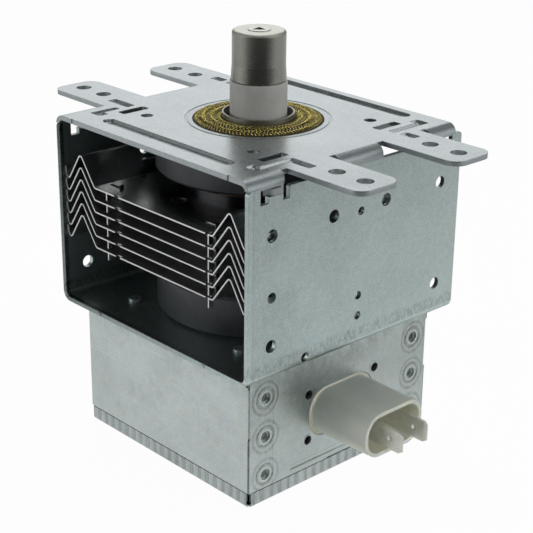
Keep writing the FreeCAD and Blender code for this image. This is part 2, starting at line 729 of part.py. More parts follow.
def magnet(z0):
    """Ring magnet with broken edges, from its lower face."""
    z1 = z0 + MAGNET_THICKNESS
    c = MAGNET_CHAMFER
    return turned([
        (MAGNET_BORE_R, z0), (MAGNET_R - c, z0), (MAGNET_R, z0 + c),
        (MAGNET_R, z1 - c), (MAGNET_R - c, z1), (MAGNET_BORE_R, z1),
    ])


def anode_cylinder():
    """Copper cylinder that the vanes and fins are fixed to."""
    return tube(ANODE_R, ANODE_R - ANODE_WALL, ANODE_BOTTOM, ANODE_TOP)


def strap_groove(radius, z0, z1):
    """Room for one strap ring in the vanes' edges."""
    return tube(radius + STRAP_SIZE / 2, radius - STRAP_SIZE / 2, z0, z1)


def anode_vane(index):
    """One copper vane, with the grooves that the strap rings lie in."""
    half = VANE_THICKNESS / 2
    blade = box(VANE_TIP_R, ANODE_R - ANODE_WALL, -half, half, VANE_BOTTOM, VANE_TOP)
    blade = blade.common(rod(ANODE_R - ANODE_WALL, VANE_BOTTOM, VANE_TOP))
    for radius in STRAP_RADII:
        blade = blade.cut(strap_groove(radius, VANE_TOP - STRAP_SIZE, VANE_TOP))
        blade = blade.cut(strap_groove(radius, VANE_BOTTOM, VANE_BOTTOM + STRAP_SIZE))
    blade.rotate(V(0, 0, 0), UP, index * 360 / VANE_COUNT)
    return blade


def strap_ring(radius, top):
    """Ring that ties every vane together at one edge."""
    z0 = VANE_TOP - STRAP_SIZE if top else VANE_BOTTOM
    return tube(radius + STRAP_SIZE / 2, radius - STRAP_SIZE / 2, z0, z0 + STRAP_SIZE)


def pole_piece(top):
    """Dished iron pole piece that closes one end of the anode cylinder."""
    lip = ANODE_R - ANODE_WALL - 0.6
    profile = [
        (POLE_BORE_R, POLE_DISH), (POLE_LIP_R, POLE_DISH), (lip, POLE_SHEET), (lip, 0),
        (ANODE_R, 0), (ANODE_R, -POLE_SHEET), (lip - 1.2, -POLE_SHEET),
        (POLE_LIP_R - 1.2, POLE_DISH - POLE_SHEET), (POLE_BORE_R, POLE_DISH - POLE_SHEET),
    ]
    sign = -1 if top else 1
    level = ANODE_TOP if top else ANODE_BOTTOM
    piece = turned([(r, level + sign * z) for r, z in profile])
    if top:
        piece = piece.cut(rod(LEAD_HOLE_R, ANODE_TOP - POLE_DISH - 1, ANODE_TOP + POLE_SHEET + 1, LEAD_OFFSET, 0))
    return piece


def fin_wing(side_x, rise, y0, y1):
    """Wave-shaped end of a fin, from its flat to the lip on the side wall."""
    wall = WALL_INSIDE - FIN_SHEET / 2
    left = side_x < 0
    foot = FIN_FOOT_LEFT if left else FIN_FOOT_RIGHT
    valley = WALL_INSIDE - (FIN_VALLEY_FROM_WALL_LEFT if left else FIN_VALLEY_FROM_WALL_RIGHT)
    drop = FIN_VALLEY_DROP_LEFT if left else FIN_VALLEY_DROP_RIGHT
    path = [
        (side_x * (foot - 2), 0),
        (side_x * foot, 0),
        (side_x * (WALL_INSIDE - FIN_CREST_FROM_WALL), rise * FIN_CREST_RISE),
        (side_x * valley, -rise * drop),
        (side_x * wall, rise * FIN_LIP_FROM),
        (side_x * wall, rise * FIN_LIP_RISE),
    ]
    return folded_along_y(path, FIN_BEND, FIN_SHEET, y0, y1)


def fin_tab(x, side, drop):
    """Small tongue that hangs from a fin's edge and spaces it from the next one."""
    edge = side * FIN_HALF_DEPTH
    ys = sorted([edge, edge - side * FIN_TAB_DEPTH])
    x0 = x - FIN_SHEET / 2
    return box(x0, x0 + FIN_SHEET, ys[0], ys[1], -FIN_SHEET / 2 - drop, 0)


def lance(x, y):
    """Slot at one place of a fin, and the short tongue that stands up at the slot's end."""
    half = FIN_SHEET / 2
    length = FIN_LANCE_LENGTH / 2
    width = FIN_LANCE_WIDTH / 2
    slot = box(x - length, x + length, y - width, y + width, -half, half)
    end = x + length
    tongue = box(end, end + FIN_SHEET, y - width, y + width, -half, half + FIN_LANCE_RISE)
    return slot, tongue


def cooling_fin(z):
    """Aluminium fin pressed on the anode, its ends split into strips that wave up and down in turn."""
    half = FIN_SHEET / 2
    flat = box(1 - FIN_FOOT_LEFT, FIN_FOOT_RIGHT - 1, -FIN_HALF_DEPTH, FIN_HALF_DEPTH, -half, half)
    pieces = [flat, rod(ANODE_R + FIN_COLLAR_WALL, -half, half + FIN_COLLAR_HEIGHT)]
    strip = FIN_HALF_DEPTH / 2
    for row, start in enumerate((-2, -1, 0, 1)):
        rise = 1 if row % 2 == 0 else -1
        y0 = start * strip + (FIN_SLIT / 2 if row > 0 else 0)
        y1 = (start + 1) * strip - (FIN_SLIT / 2 if row < 3 else 0)
        pieces += [fin_wing(sx, rise, y0, y1) for sx in (-1, 1)]
    tools = [rod(ANODE_R, -half, half + FIN_COLLAR_HEIGHT)]
    for side in (-1, 1):
        mirror = -side
        edge = side * FIN_HALF_DEPTH
        right_tab = FIN_FOOT_RIGHT - FIN_TAB_FROM_FOOT_RIGHT
        pieces.append(fin_tab(mirror * (FIN_TAB_FROM_FOOT_LEFT - FIN_FOOT_LEFT), side, FIN_TAB_LEFT_DROP))
        pieces.append(fin_tab(mirror * right_tab, side, FIN_TAB_RIGHT_DROP))
        ys = sorted([edge, edge - side * FIN_NOTCH_DEPTH])
        notch_x = mirror * (FIN_NOTCH_FROM_FOOT - FIN_FOOT_LEFT)
        tools.append(box(notch_x - FIN_NOTCH_WIDTH / 2, notch_x + FIN_NOTCH_WIDTH / 2, ys[0], ys[1], -half, half))
        beside = mirror * (right_tab - FIN_SHEET / 2 - FIN_CUT_WIDTH / 2)
        ys = sorted([edge, edge - side * FIN_TAB_DEPTH])
        tools.append(box(beside - FIN_CUT_WIDTH / 2, beside + FIN_CUT_WIDTH / 2, ys[0], ys[1], -half, half))
        left_lance = FIN_LANCE_FROM_FOOT_LEFT - FIN_LANCE_LENGTH / 2 - FIN_FOOT_LEFT
        right_lance = FIN_FOOT_RIGHT - FIN_LANCE_FROM_FOOT_RIGHT - FIN_LANCE_LENGTH / 2
        for x in (left_lance, right_lance):
            slot, tongue = lance(mirror * x, edge - side * FIN_LANCE_FROM_EDGE)
            tools.append(slot)
            pieces.append(tongue)
        tools.append(rod(FIN_HOLE_R, -half, half, mirror * FIN_HOLE_X, edge - side * FIN_HOLE_FROM_EDGE))
    fin = cut_all(fuse_all(pieces), tools)
    fin.translate(V(0, 0, z))
    return fin


def output_sleeve():
    """Drawn sleeve from the upper pole piece up through the gasket, open round the ceramic."""
    t = SEAL_SHEET
    low = UPPER_MAGNET_FACE - t / 2
    path = [(SEAL_FLANGE_R, low), (SLEEVE_R - t / 2, low), (SLEEVE_R - t / 2, SLEEVE_TOP)]
    return spun_sheet(path, SEAL_BEND, t)


def ceramic_seat():
    """Drawn ring inside the sleeve that the ceramic stands on."""
    t = SEAL_SHEET
    wall = SLEEVE_R - 1.5 * t
    level = CERAMIC_BOTTOM - t / 2
    path = [(wall, CERAMIC_BOTTOM - SEAT_LENGTH), (wall, level), (SEAT_BORE_R, level)]
    return spun_sheet(path, SEAL_BEND, t)


def output_ceramic():
    """Ceramic window of the output."""
    c = CERAMIC_CHAMFER
    inner = CERAMIC_R - CERAMIC_WALL
    return turned([
        (inner, CERAMIC_BOTTOM), (CERAMIC_R - c, CERAMIC_BOTTOM), (CERAMIC_R, CERAMIC_BOTTOM + c),
        (CERAMIC_R, CERAMIC_TOP - c), (CERAMIC_R - c, CERAMIC_TOP), (inner, CERAMIC_TOP),
    ])


def output_seal_ring():
    """Cup on top of the ceramic that the exhaust tube passes and the cap is pressed on."""
    outer = CAP_R - CAP_WALL
    t = RING_WALL
    return turned([
        (EXHAUST_R, CERAMIC_TOP), (outer, CERAMIC_TOP), (outer, CERAMIC_TOP + RING_HEIGHT),
        (outer - t, CERAMIC_TOP + RING_HEIGHT), (outer - t, CERAMIC_TOP + t), (EXHAUST_R, CERAMIC_TOP + t),
    ])


def exhaust_tube():
    """Copper tube that was pinched shut after the tube was pumped out."""
    foot = CERAMIC_TOP - EXHAUST_TAIL
    body = rod(EXHAUST_R, foot, EXHAUST_TOP)
    pinch_from = EXHAUST_TOP - PINCH_LENGTH
    pinch = prism_xz([
        (-EXHAUST_R, pinch_from), (-PINCH_HALF, EXHAUST_TOP), (PINCH_HALF, EXHAUST_TOP),
        (EXHAUST_R, pinch_from), (EXHAUST_R, foot), (-EXHAUST_R, foot),
    ], -EXHAUST_R, EXHAUST_R)
    bore = rod(EXHAUST_R - EXHAUST_WALL, foot, EXHAUST_TOP - PINCH_SOLID)
    return body.common(pinch).cut(bore)


def antenna_lead():
    """Copper lead from a vane's edge up into the exhaust tube."""
    points = [
        V(LEAD_OFFSET, 0, VANE_TOP), V(LEAD_OFFSET, 0, LEAD_KNEE_LOW),
        V(0, 0, LEAD_KNEE_TOP), V(0, 0, LEAD_TOP - LEAD_R),
    ]
    lead = fuse_all(bent_wire(points, LEAD_R))
    return lead.cut(rod(2 * LEAD_R, VANE_TOP - 2 * LEAD_R, VANE_TOP, LEAD_OFFSET, 0))


def antenna_cap():
    """Pressed steel cap with a flared skirt, a rounded shoulder and a three-cornered hole."""
    bottom = CERAMIC_TOP + CAP_GAP
    skirt = bottom + CAP_SKIRT_HEIGHT
    shell = turned([
        (0, bottom), (CAP_SKIRT_R, bottom), (CAP_R, skirt), (CAP_R, CAP_TOP), (0, CAP_TOP),
    ])
    rim = [
        edge for edge in shell.Edges
        if abs(edge.BoundBox.ZMin - CAP_TOP) < 1e-6 and edge.BoundBox.ZLength < 1e-6
    ]
    shell = shell.makeFillet(CAP_SHOULDER_R, rim)
    shell = shell.fuse(rod(CAP_BOSS_R, CAP_TOP - 0.1, CAP_TOP + CAP_BOSS_HEIGHT))
    hollow = rod(CAP_R - CAP_WALL, bottom, CAP_TOP - CAP_WALL)
    points = []
    for k in range(3):
        turn = math.radians(136.7 + 120 * k)
        points.append(V(CAP_HOLE_R * math.cos(turn), CAP_HOLE_R * math.sin(turn), CAP_TOP - 1))
    hole = Part.Face(Part.makePolygon(points + points[:1])).extrude(UP * 2)
    upright = [edge for edge in hole.Edges if edge.BoundBox.ZLength > 1]
    hole = hole.makeFillet(CAP_HOLE_CORNER_R, upright)
    return shell.cut(hollow).cut(hole).removeSplitter()


def mesh_gasket():
    """Knitted metal ring in the plate's hole, crowned between its two edges."""
    inner = SLEEVE_R + GASKET_CLEARANCE
    middle = (inner + GASKET_OUTER_R) / 2
    start = V(inner, 0, GASKET_INNER_TOP)
    end = V(GASKET_OUTER_R, 0, GASKET_EDGE_TOP)
    crown = Part.Arc(start, V(middle, 0, GASKET_CROWN), end).toShape()
    sides = Part.makePolygon([end, V(GASKET_OUTER_R, 0, PLATE_UNDER), V(inner, 0, PLATE_UNDER), start])
    face = Part.Face(Part.Wire([crown] + sides.Edges))
    return face.revolve(V(0, 0, 0), UP, 360)


def filament():
    """Helical cathode between the two end hats."""
    length = VANE_HEIGHT - FILAMENT_WIRE
    wound = coil(FILAMENT_R, FILAMENT_WIRE, FILAMENT_TURNS, length)
    wound.translate(V(0, 0, VANE_BOTTOM + FILAMENT_WIRE / 2))
    return wound


def upper_end_hat():
    """Hat at the filament's top, on the centre lead."""
    z0 = VANE_TOP
    return rod(HAT_R, z0, z0 + HAT_THICKNESS)


def lower_end_hat():
    """Hat at the filament's foot, which the centre lead passes and the side lead holds."""
    z1 = VANE_BOTTOM
    hat = rod(HAT_R, z1 - HAT_THICKNESS, z1).fuse(rod(HAT_HUB_R, z1 - 2 * HAT_THICKNESS, z1))
    hat = hat.cut(rod(CATHODE_LEAD_R + 0.5, z1 - 3 * HAT_THICKNESS, z1 + 1))
    return hat.cut(rod(CATHODE_LEAD_R, z1 - 3 * HAT_THICKNESS, z1 - HAT_THICKNESS / 2, SIDE_LEAD_X, 0))


def center_lead():
    """Rod from the upper hat down through the stem."""
    return rod(CATHODE_LEAD_R, STEM_BOTTOM - STEM_LEAD_TAIL, VANE_TOP)


def side_lead():
    """Rod from the lower hat down through the stem."""
    return rod(CATHODE_LEAD_R, STEM_BOTTOM - STEM_LEAD_TAIL, VANE_BOTTOM - HAT_THICKNESS / 2, SIDE_LEAD_X, 0)


def input_sleeve():
    """Drawn sleeve from the lower pole piece to the stem's ceramic."""
    t = SEAL_SHEET
    neck = STEM_SLEEVE_R - t / 2
    low = LOWER_MAGNET_FACE + t / 2
    path = [
        (SEAL_FLANGE_R, low), (neck, low), (neck, STEM_TOP + t / 2), (STEM_SEAT_R, STEM_TOP + t / 2),
    ]
    return spun_sheet(path, SEAL_BEND, t)


def stem_ceramic():
    """Ceramic that carries the two cathode leads."""
    c = STEM_CHAMFER
    body = turned([
        (0, STEM_BOTTOM), (STEM_SLEEVE_R - c, STEM_BOTTOM), (STEM_SLEEVE_R, STEM_BOTTOM + c),
        (STEM_SLEEVE_R, STEM_TOP - c), (STEM_SLEEVE_R - c, STEM_TOP), (0, STEM_TOP),
    ])
    holes = [rod(CATHODE_LEAD_R, STEM_BOTTOM, STEM_TOP, x) for x in (0, SIDE_LEAD_X)]
    return cut_all(body, holes)


def cathode_lug(x, side_y):
    """Strip under the stem that takes one lead out towards its choke."""
    z1 = STEM_BOTTOM
    z0 = z1 - LUG_THICKNESS
    width = SIDE_LEAD_X / 2 - 0.15
    ys = sorted([-side_y * width, side_y * LUG_REACH])
    strip = box(x - width, x + width, ys[0], ys[1], z0, z1)
    return strip.cut(rod(CATHODE_LEAD_R, z0, z1, x, 0))


def choke_core(side_y):
    """Ferrite rod inside one choke."""
    y = side_y * CHOKE_Y
    return rod_x(CHOKE_CORE_R, CHOKE_FROM_X, CHOKE_FROM_X + CHOKE_LENGTH, y, CHOKE_Z)


def front_choke_coil():
    """Enamelled copper winding on the front ferrite rod, with its ends on the lug and the tab."""
    half = CHOKE_WIRE / 2
    radius = CHOKE_CORE_R + half + CHOKE_CLEARANCE
    wound = coil(radius, CHOKE_WIRE, CHOKE_TURNS, CHOKE_LENGTH - CHOKE_WIRE)
    wound.rotate(V(0, 0, 0), DEEP, 90)
    start = V(CHOKE_FROM_X + half, -CHOKE_Y, 0)
    wound.translate(start)
    start = start - UP * radius
    end = start + ACROSS * (CHOKE_LENGTH - CHOKE_WIRE)
    lug_rise = CHOKE_BELOW_YOKE - STEM_BELOW_YOKE - STEM_HEIGHT - LUG_THICKNESS - half * SOLDER_SWELL
    bend_x = CHOKE_FROM_X - CHOKE_WIRE
    to_lug = [
        start, V(bend_x, start.y, start.z), V(bend_x, start.y, lug_rise),
        V(SIDE_LEAD_X, CHOKE_WIRE - LUG_REACH, lug_rise),
    ]
    tab_x = TAB_TAIL + CHOKE_WIRE
    tab_y = -TAB_Y - TAB_THICKNESS / 2 - half * SOLDER_SWELL
    to_tab = [end, V(tab_x, tab_y, end.z), V(tab_x, tab_y, CHOKE_BELOW_YOKE - SOCKET_BELOW_YOKE)]
    wire = wound.fuse(bent_wire(to_lug, half) + bent_wire(to_tab, half), JOIN_TOLERANCE)
    wire.translate(UP * CHOKE_Z)
    return wire


def stepped_walls(half_x, half_y, inset):
    """Block that fills a box down to its seam, and on down inside the lid with a small step in."""
    ledge = BOX_SEAM + inset
    bottom = BOX_SKIRT_INSIDE - inset
    upper = rounded_slab(
        half_x - inset, half_y - inset, BOX_CORNER_R,
        flat_place(0, 0, ledge), BOX_TOP - inset - ledge,
    )
    lower = rounded_slab(
        half_x - inset - BOX_STEP, half_y - inset - BOX_STEP, BOX_CORNER_R,
        flat_place(0, 0, bottom), ledge - bottom,
    )
    return upper.fuse(lower)


def clinch_places():
    """Centres of the clinch joints on the side plate, as (y, z)."""
    rows = [CLINCH_TOP - k * CLINCH_PITCH for k in range(CLINCH_ROWS)]
    return [(sy * CLINCH_Y, z) for sy in (-1, 1) for z in rows]


def filter_case():
    """Folded case: a top, three walls that step in behind the lid's skirt, and two inner flanges."""
    outside = stepped_walls(BOX_HALF_WIDTH, BOX_HALF_DEPTH, 0)
    inside = stepped_walls(BOX_HALF_WIDTH, BOX_HALF_DEPTH, BOX_SHEET)
    shell = outside.cut(inside)
    open_y = BOX_HALF_DEPTH - BOX_SHEET
    mouth_x = PLATE_INSIDE_X - BOX_STEP - BOX_SHEET
    shell = shell.cut(box(mouth_x, BOX_HALF_WIDTH + 1, -open_y, open_y, LID_BOTTOM, BOX_TOP - BOX_SHEET))
    shell = shell.cut(box(
        PLATE_INSIDE_X, BOX_HALF_WIDTH + 1, -BOX_HALF_DEPTH, BOX_HALF_DEPTH, LID_BOTTOM, BOX_TOP,
    ))
    pieces = [shell]
    for sy in (-1, 1):
        ys = sorted([sy * (BOX_HALF_DEPTH - BOX_FLANGE), sy * (BOX_HALF_DEPTH - BOX_SHEET)])
        pieces.append(box(
            PLATE_INSIDE_X - BOX_SHEET, PLATE_INSIDE_X, ys[0], ys[1],
            BOX_SEAM + BOX_SHEET, BOX_TOP - BOX_SHEET,
        ))
    case = fuse_all(pieces)
    tools = [rod(NECK_HOLE_R, BOX_TOP - 2, BOX_TOP)]
    cup = CLINCH_R + CLINCH_WALL
    for y, z in clinch_places():
        tools.append(rod_x(cup, PLATE_INSIDE_X - BOX_SHEET - 1, PLATE_INSIDE_X, y, z))
    for sy in (-1, 1):
        ys = sorted([sy * (BOX_HALF_DEPTH - BOX_RELIEF), sy * (BOX_HALF_DEPTH + 1)])
        tools.append(box(
            PLATE_INSIDE_X - BOX_RELIEF, BOX_HALF_WIDTH + 1, ys[0], ys[1],
            BOX_TOP - BOX_RELIEF_HEIGHT, BOX_TOP,
        ))
    return cut_all(case, tools)


def socket_outline(half_width, half_height, radius, x, length):
    """Oval body of the connector, centred on the socket's axis."""
    return rounded_slab(half_width, half_height, radius, facing_x(x, 0, SOCKET_Z), length)


def filter_side_plate():
    """Side plate with the connector's window, eyelet holes, a rib and the clinch joints."""
    low = BOX_SEAM + BOX_SHEET
    half = BOX_HALF_DEPTH
    plate = box(PLATE_INSIDE_X, BOX_HALF_WIDTH, -half, half, BOX_SEAM, BOX_TOP)
    inner_x = PLATE_INSIDE_X - BOX_STEP
    half_low = half - BOX_STEP - BOX_SHEET - 0.3
    step = box(inner_x, BOX_HALF_WIDTH - 0.2, -half_low, half_low, BOX_SEAM, low)
    skirt = box(inner_x, inner_x + BOX_SHEET, -half_low, half_low, BOX_SKIRT_INSIDE, low)
    pieces = [plate, step, skirt]
    for y, z in clinch_places():
        cup_x = BOX_HALF_WIDTH - CLINCH_DEPTH - CLINCH_WALL
        pieces.append(rod_x(CLINCH_R + CLINCH_WALL, cup_x, BOX_HALF_WIDTH, y, z))
        ring = rod_x(CLINCH_RING_R + CLINCH_RING_WIDTH / 2, PLATE_INSIDE_X, BOX_HALF_WIDTH + CLINCH_RING_HEIGHT, y, z)
        bore = rod_x(CLINCH_RING_R - CLINCH_RING_WIDTH / 2, PLATE_INSIDE_X, BOX_HALF_WIDTH + 1, y, z)
        pieces.append(ring.cut(bore))
    for sy in (-1, 1):
        for sz in (-1, 1):
            z = SOCKET_Z + sz * EYELET_Z
            pieces.append(rod_x(EYELET_R + EYELET_RIM, PLATE_INSIDE_X, BOX_HALF_WIDTH + EYELET_RIM_HEIGHT, sy * EYELET_Y, z))
    whole = fuse_all(pieces)
    clear = WINDOW_CLEARANCE
    tools = [socket_outline(
        SOCKET_FOOT_HALF_WIDTH + clear, SOCKET_FOOT_HALF_HEIGHT + clear, SOCKET_FOOT_CORNER_R + clear,
        PLATE_INSIDE_X - 1, 3,
    )]
    for y, z in clinch_places():
        tools.append(rod_x(CLINCH_R, BOX_HALF_WIDTH - CLINCH_DEPTH, BOX_HALF_WIDTH + 1, y, z))
    for sy in (-1, 1):
        for sz in (-1, 1):
            tools.append(rod_x(EYELET_R, PLATE_INSIDE_X - 1, BOX_HALF_WIDTH + 1, sy * EYELET_Y, SOCKET_Z + sz * EYELET_Z))
    tools.append(box(
        BOX_HALF_WIDTH - SIDE_RIB_DEPTH, BOX_HALF_WIDTH + 1, -SIDE_RIB_HALF, SIDE_RIB_HALF,
        SIDE_RIB_Z - SIDE_RIB_WIDTH / 2, SIDE_RIB_Z + SIDE_RIB_WIDTH / 2,
    ))
    tools.append(box(
        BOX_HALF_WIDTH - 0.19, BOX_HALF_WIDTH + 1, -SIDE_PLATE_RISE_HALF, SIDE_PLATE_RISE_HALF,
        BOX_SEAM - 1, BOX_SEAM + SIDE_PLATE_RISE,
    ))
    notch_top = BOX_TOP - SIDE_NOTCH_FROM_TOP
    for sy in (-1, 1):
        ys = sorted([sy * (half - SIDE_NOTCH_DEPTH), sy * (half + 1)])
        tools.append(box(
            PLATE_INSIDE_X, BOX_HALF_WIDTH + 1, ys[0], ys[1], notch_top - SIDE_NOTCH_LENGTH, notch_top,
        ))
    return cut_all(whole, tools)


def lid_skirt(half_along, outside, turn):
    """One fluted skirt of the lid, drawn on the front side and then turned into place."""
    top = BOX_SEAM - LID_SEAM_GAP
    middle = outside - LID_SHEET / 2
    bottom = LID_BOTTOM + LID_SHEET / 2
    path = [(LID_RIM - middle, bottom), (-middle, bottom), (-middle, top)]
    strip = folded_along_x(path, LID_BEND, LID_SHEET, -half_along, half_along)
    height = top - LID_BOTTOM
    lean = math.atan2(FLUTE_DEPTH, height)
    count = int(2 * half_along / FLUTE_PITCH)
    flutes = []
    for k in range(count + 1):
        x = (k - count / 2) * FLUTE_PITCH
        start = V(x, -outside - FLUTE_R + FLUTE_DEPTH, LID_BOTTOM - 1)
        axis = V(0, -math.sin(lean), math.cos(lean))
        flutes.append(Part.makeCylinder(FLUTE_R, height + 2, start, axis))
    strip = cut_all(strip, flutes)
    strip.rotate(V(0, 0, 0), UP, turn)
    return strip


def filter_lid():
    """Lid with four fluted skirts that close round the case's stepped walls, open at the corners."""
    across = BOX_HALF_WIDTH - LID_CORNER_GAP
    deep = BOX_HALF_DEPTH - LID_CORNER_GAP
    base = LID_SHEET + LID_BEND + 0.5
    panel = box(
        -BOX_HALF_WIDTH + base, BOX_HALF_WIDTH - base, -BOX_HALF_DEPTH + base, BOX_HALF_DEPTH - base,
        LID_BOTTOM, LID_BOTTOM + LID_SHEET,
    )
    skirts = [
        lid_skirt(across, BOX_HALF_DEPTH, 0),
        lid_skirt(deep, BOX_HALF_WIDTH, 90),
        lid_skirt(across, BOX_HALF_DEPTH, 180),
        lid_skirt(deep, BOX_HALF_WIDTH, 270),
    ]
    return fuse_all([panel] + skirts)


def connector_shell():
    """Oval plastic socket with a foot that fills the side plate's window."""
    foot_x = PLATE_INSIDE_X - EARTH_SHEET
    proud = BOX_HALF_WIDTH - SOCKET_FOOT_PROUD
    foot = socket_outline(
        SOCKET_FOOT_HALF_WIDTH, SOCKET_FOOT_HALF_HEIGHT, SOCKET_FOOT_CORNER_R,
        PLATE_INSIDE_X, proud - PLATE_INSIDE_X,
    )
    plug = socket_outline(
        CAPACITOR_HALF_WIDTH, CAPACITOR_HALF_HEIGHT, CAPACITOR_HALF_HEIGHT - 0.1, foot_x, EARTH_SHEET,
    )
    grow = SOCKET_DRAFT
    root = socket_outline(
        SOCKET_HALF_WIDTH + grow / 2, SOCKET_HALF_HEIGHT + grow, SOCKET_CORNER_R + grow / 2,
        PLATE_INSIDE_X, 0.01,
    ).Faces[-1].OuterWire
    tip = socket_outline(
        SOCKET_HALF_WIDTH, SOCKET_HALF_HEIGHT, SOCKET_CORNER_R, SOCKET_TIP - 0.01, 0.01,
    ).Faces[-1].OuterWire
    body = Part.makeLoft([root, tip], True, True)
    wall = SOCKET_WALL
    hollow = socket_outline(
        SOCKET_HALF_WIDTH - wall, SOCKET_HALF_HEIGHT - wall, SOCKET_CORNER_R - wall,
        SOCKET_FLOOR, SOCKET_TIP - SOCKET_FLOOR + 1,
    )
    whole = fuse_all([foot, plug, body]).cut(hollow)
    return whole.cut(Part.makeCompound([tab_blade(sy) for sy in (-1, 1)]))


def tab_blade(side_y):
    """Full blade of one tab, without its hole."""
    half = TAB_THICKNESS / 2
    z0 = SOCKET_Z - TAB_WIDTH / 2
    z1 = SOCKET_Z + TAB_WIDTH / 2
    c = TAB_TIP_CHAMFER
    y = side_y * TAB_Y
    points = [
        (TAB_TAIL, z0), (TAB_TIP - c, z0), (TAB_TIP, z0 + c * 0.6),
        (TAB_TIP, z1 - c * 0.6), (TAB_TIP - c, z1), (TAB_TAIL, z1),
    ]
    return prism_xz(points, y - half, y + half)


def terminal_tab(side_y):
    """Flat tab terminal with its locking hole and bevelled tip."""
    y = side_y * TAB_Y
    blade = tab_blade(side_y)
    hole = Part.makeCylinder(TAB_HOLE_R, 4, V(TAB_TIP - TAB_HOLE_FROM_TIP, y - 2, SOCKET_Z), DEEP)
    half = TAB_THICKNESS / 2
    low = SOCKET_Z - TAB_WIDTH
    tools = [hole]
    for side in (-1, 1):
        inner = V(TAB_TIP + 0.01, y + side * (half - TAB_BEVEL), low)
        outer = V(TAB_TIP + 0.01, y + side * (half + 0.01), low)
        back = V(TAB_TIP - TAB_BEVEL_LENGTH, y + side * (half + 0.01), low)
        wedge = Part.Face(Part.makePolygon([inner, outer, back, inner]))
        tools.append(wedge.extrude(UP * 2 * TAB_WIDTH))
    return cut_all(blade, tools)


def earth_plate():
    """Steel plate behind the side plate that earths the capacitor."""
    x0 = PLATE_INSIDE_X - EARTH_SHEET
    plate = rounded_slab(
        EARTH_HALF_WIDTH, EARTH_HALF_HEIGHT, EARTH_CORNER_R, facing_x(x0, 0, SOCKET_Z), EARTH_SHEET,
    )
    window = socket_outline(
        CAPACITOR_HALF_WIDTH, CAPACITOR_HALF_HEIGHT, CAPACITOR_HALF_HEIGHT - 0.1, x0, EARTH_SHEET,
    )
    tools = [window]
    for sy in (-1, 1):
        for sz in (-1, 1):
            tools.append(rod_x(EYELET_R, x0, PLATE_INSIDE_X, sy * EYELET_Y, SOCKET_Z + sz * EYELET_Z))
    return cut_all(plate, tools)


def capacitor_body():
    """Potted capacitor block inside the box, cast round the two tabs."""
    x1 = PLATE_INSIDE_X - EARTH_SHEET
    body = socket_outline(
        CAPACITOR_HALF_WIDTH, CAPACITOR_HALF_HEIGHT, CAPACITOR_HALF_HEIGHT - 0.1,
        CAPACITOR_BACK, x1 - CAPACITOR_BACK,
    )
    return body.cut(Part.makeCompound([tab_blade(sy) for sy in (-1, 1)]))


def build():
    """Every node of the part, by name."""
    nodes = {
        "upper_yoke": upper_yoke(),
        "lower_yoke": lower_yoke(),
        "upper_magnet": magnet(UPPER_MAGNET_FACE),
        "lower_magnet": magnet(YOKE_FLOOR),
        "anode_cylinder": anode_cylinder(),
        "upper_pole_piece": pole_piece(True),
        "lower_pole_piece": pole_piece(False),
        "output_sleeve": output_sleeve(),
        "ceramic_seat": ceramic_seat(),
        "output_ceramic": output_ceramic(),
        "output_seal_ring": output_seal_ring(),
        "exhaust_tube": exhaust_tube(),
        "antenna_lead": antenna_lead(),
        "antenna_cap": antenna_cap(),
        "mesh_gasket": mesh_gasket(),
        "filament": filament(),
        "upper_end_hat": upper_end_hat(),
        "lower_end_hat": lower_end_hat(),
        "center_lead": center_lead(),
        "side_lead": side_lead(),
        "input_sleeve": input_sleeve(),
        "stem_ceramic": stem_ceramic(),
        "center_lug": cathode_lug(0, -1),
        "side_lug": cathode_lug(SIDE_LEAD_X, 1),
        "filter_case": filter_case(),
        "filter_side_plate": filter_side_plate(),
        "filter_lid": filter_lid(),
        "connector_shell": connector_shell(),
        "earth_plate": earth_plate(),
        "capacitor_body": capacitor_body(),
    }
    for k in range(FIN_COUNT):
        nodes["cooling_fin_%d" % (k + 1)] = cooling_fin(FIN_TOP_Z - k * FIN_PITCH)
    for k in range(VANE_COUNT):
        nodes["anode_vane_%d" % (k + 1)] = anode_vane(k)
    for name, radius in zip(("inner", "outer"), STRAP_RADII):
        nodes["upper_%s_strap" % name] = strap_ring(radius, True)
        nodes["lower_%s_strap" % name] = strap_ring(radius, False)
    for name, side in (("front", -1), ("rear", 1)):
        nodes["%s_choke_core" % name] = choke_core(side)
        nodes["%s_terminal_tab" % name] = terminal_tab(side)
    nodes["front_choke_coil"] = front_choke_coil()
    nodes["rear_choke_coil"] = nodes["front_choke_coil"].mirror(V(0, 0, 0), DEEP)
    return nodes


def main():
    """Builds the part and writes one file for each node."""
    os.makedirs("parts", exist_ok=True)
    for name, shape in build().items():
        shape.exportStep("parts/%s.step" % name)


main()
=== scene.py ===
import math
import random

import bpy
from mathutils import Matrix, Vector


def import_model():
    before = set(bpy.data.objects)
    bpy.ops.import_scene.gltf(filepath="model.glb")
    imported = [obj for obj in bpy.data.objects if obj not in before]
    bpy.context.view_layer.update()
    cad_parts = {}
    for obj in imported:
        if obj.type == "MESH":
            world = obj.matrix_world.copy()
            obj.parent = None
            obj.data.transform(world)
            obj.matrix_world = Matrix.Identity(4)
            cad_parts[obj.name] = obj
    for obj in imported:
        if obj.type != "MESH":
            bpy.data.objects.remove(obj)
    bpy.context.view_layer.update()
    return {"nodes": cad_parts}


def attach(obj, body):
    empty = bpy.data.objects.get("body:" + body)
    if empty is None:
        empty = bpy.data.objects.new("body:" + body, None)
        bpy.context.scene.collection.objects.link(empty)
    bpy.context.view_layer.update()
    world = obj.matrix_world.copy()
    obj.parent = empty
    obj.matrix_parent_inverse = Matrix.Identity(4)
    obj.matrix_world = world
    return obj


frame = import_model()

# The packaged magnetron, dressed for the picture
# Sizes are in millimetres and angles in degrees, unless a name or comment says otherwise
MM = 0.001
NODES = frame["nodes"]


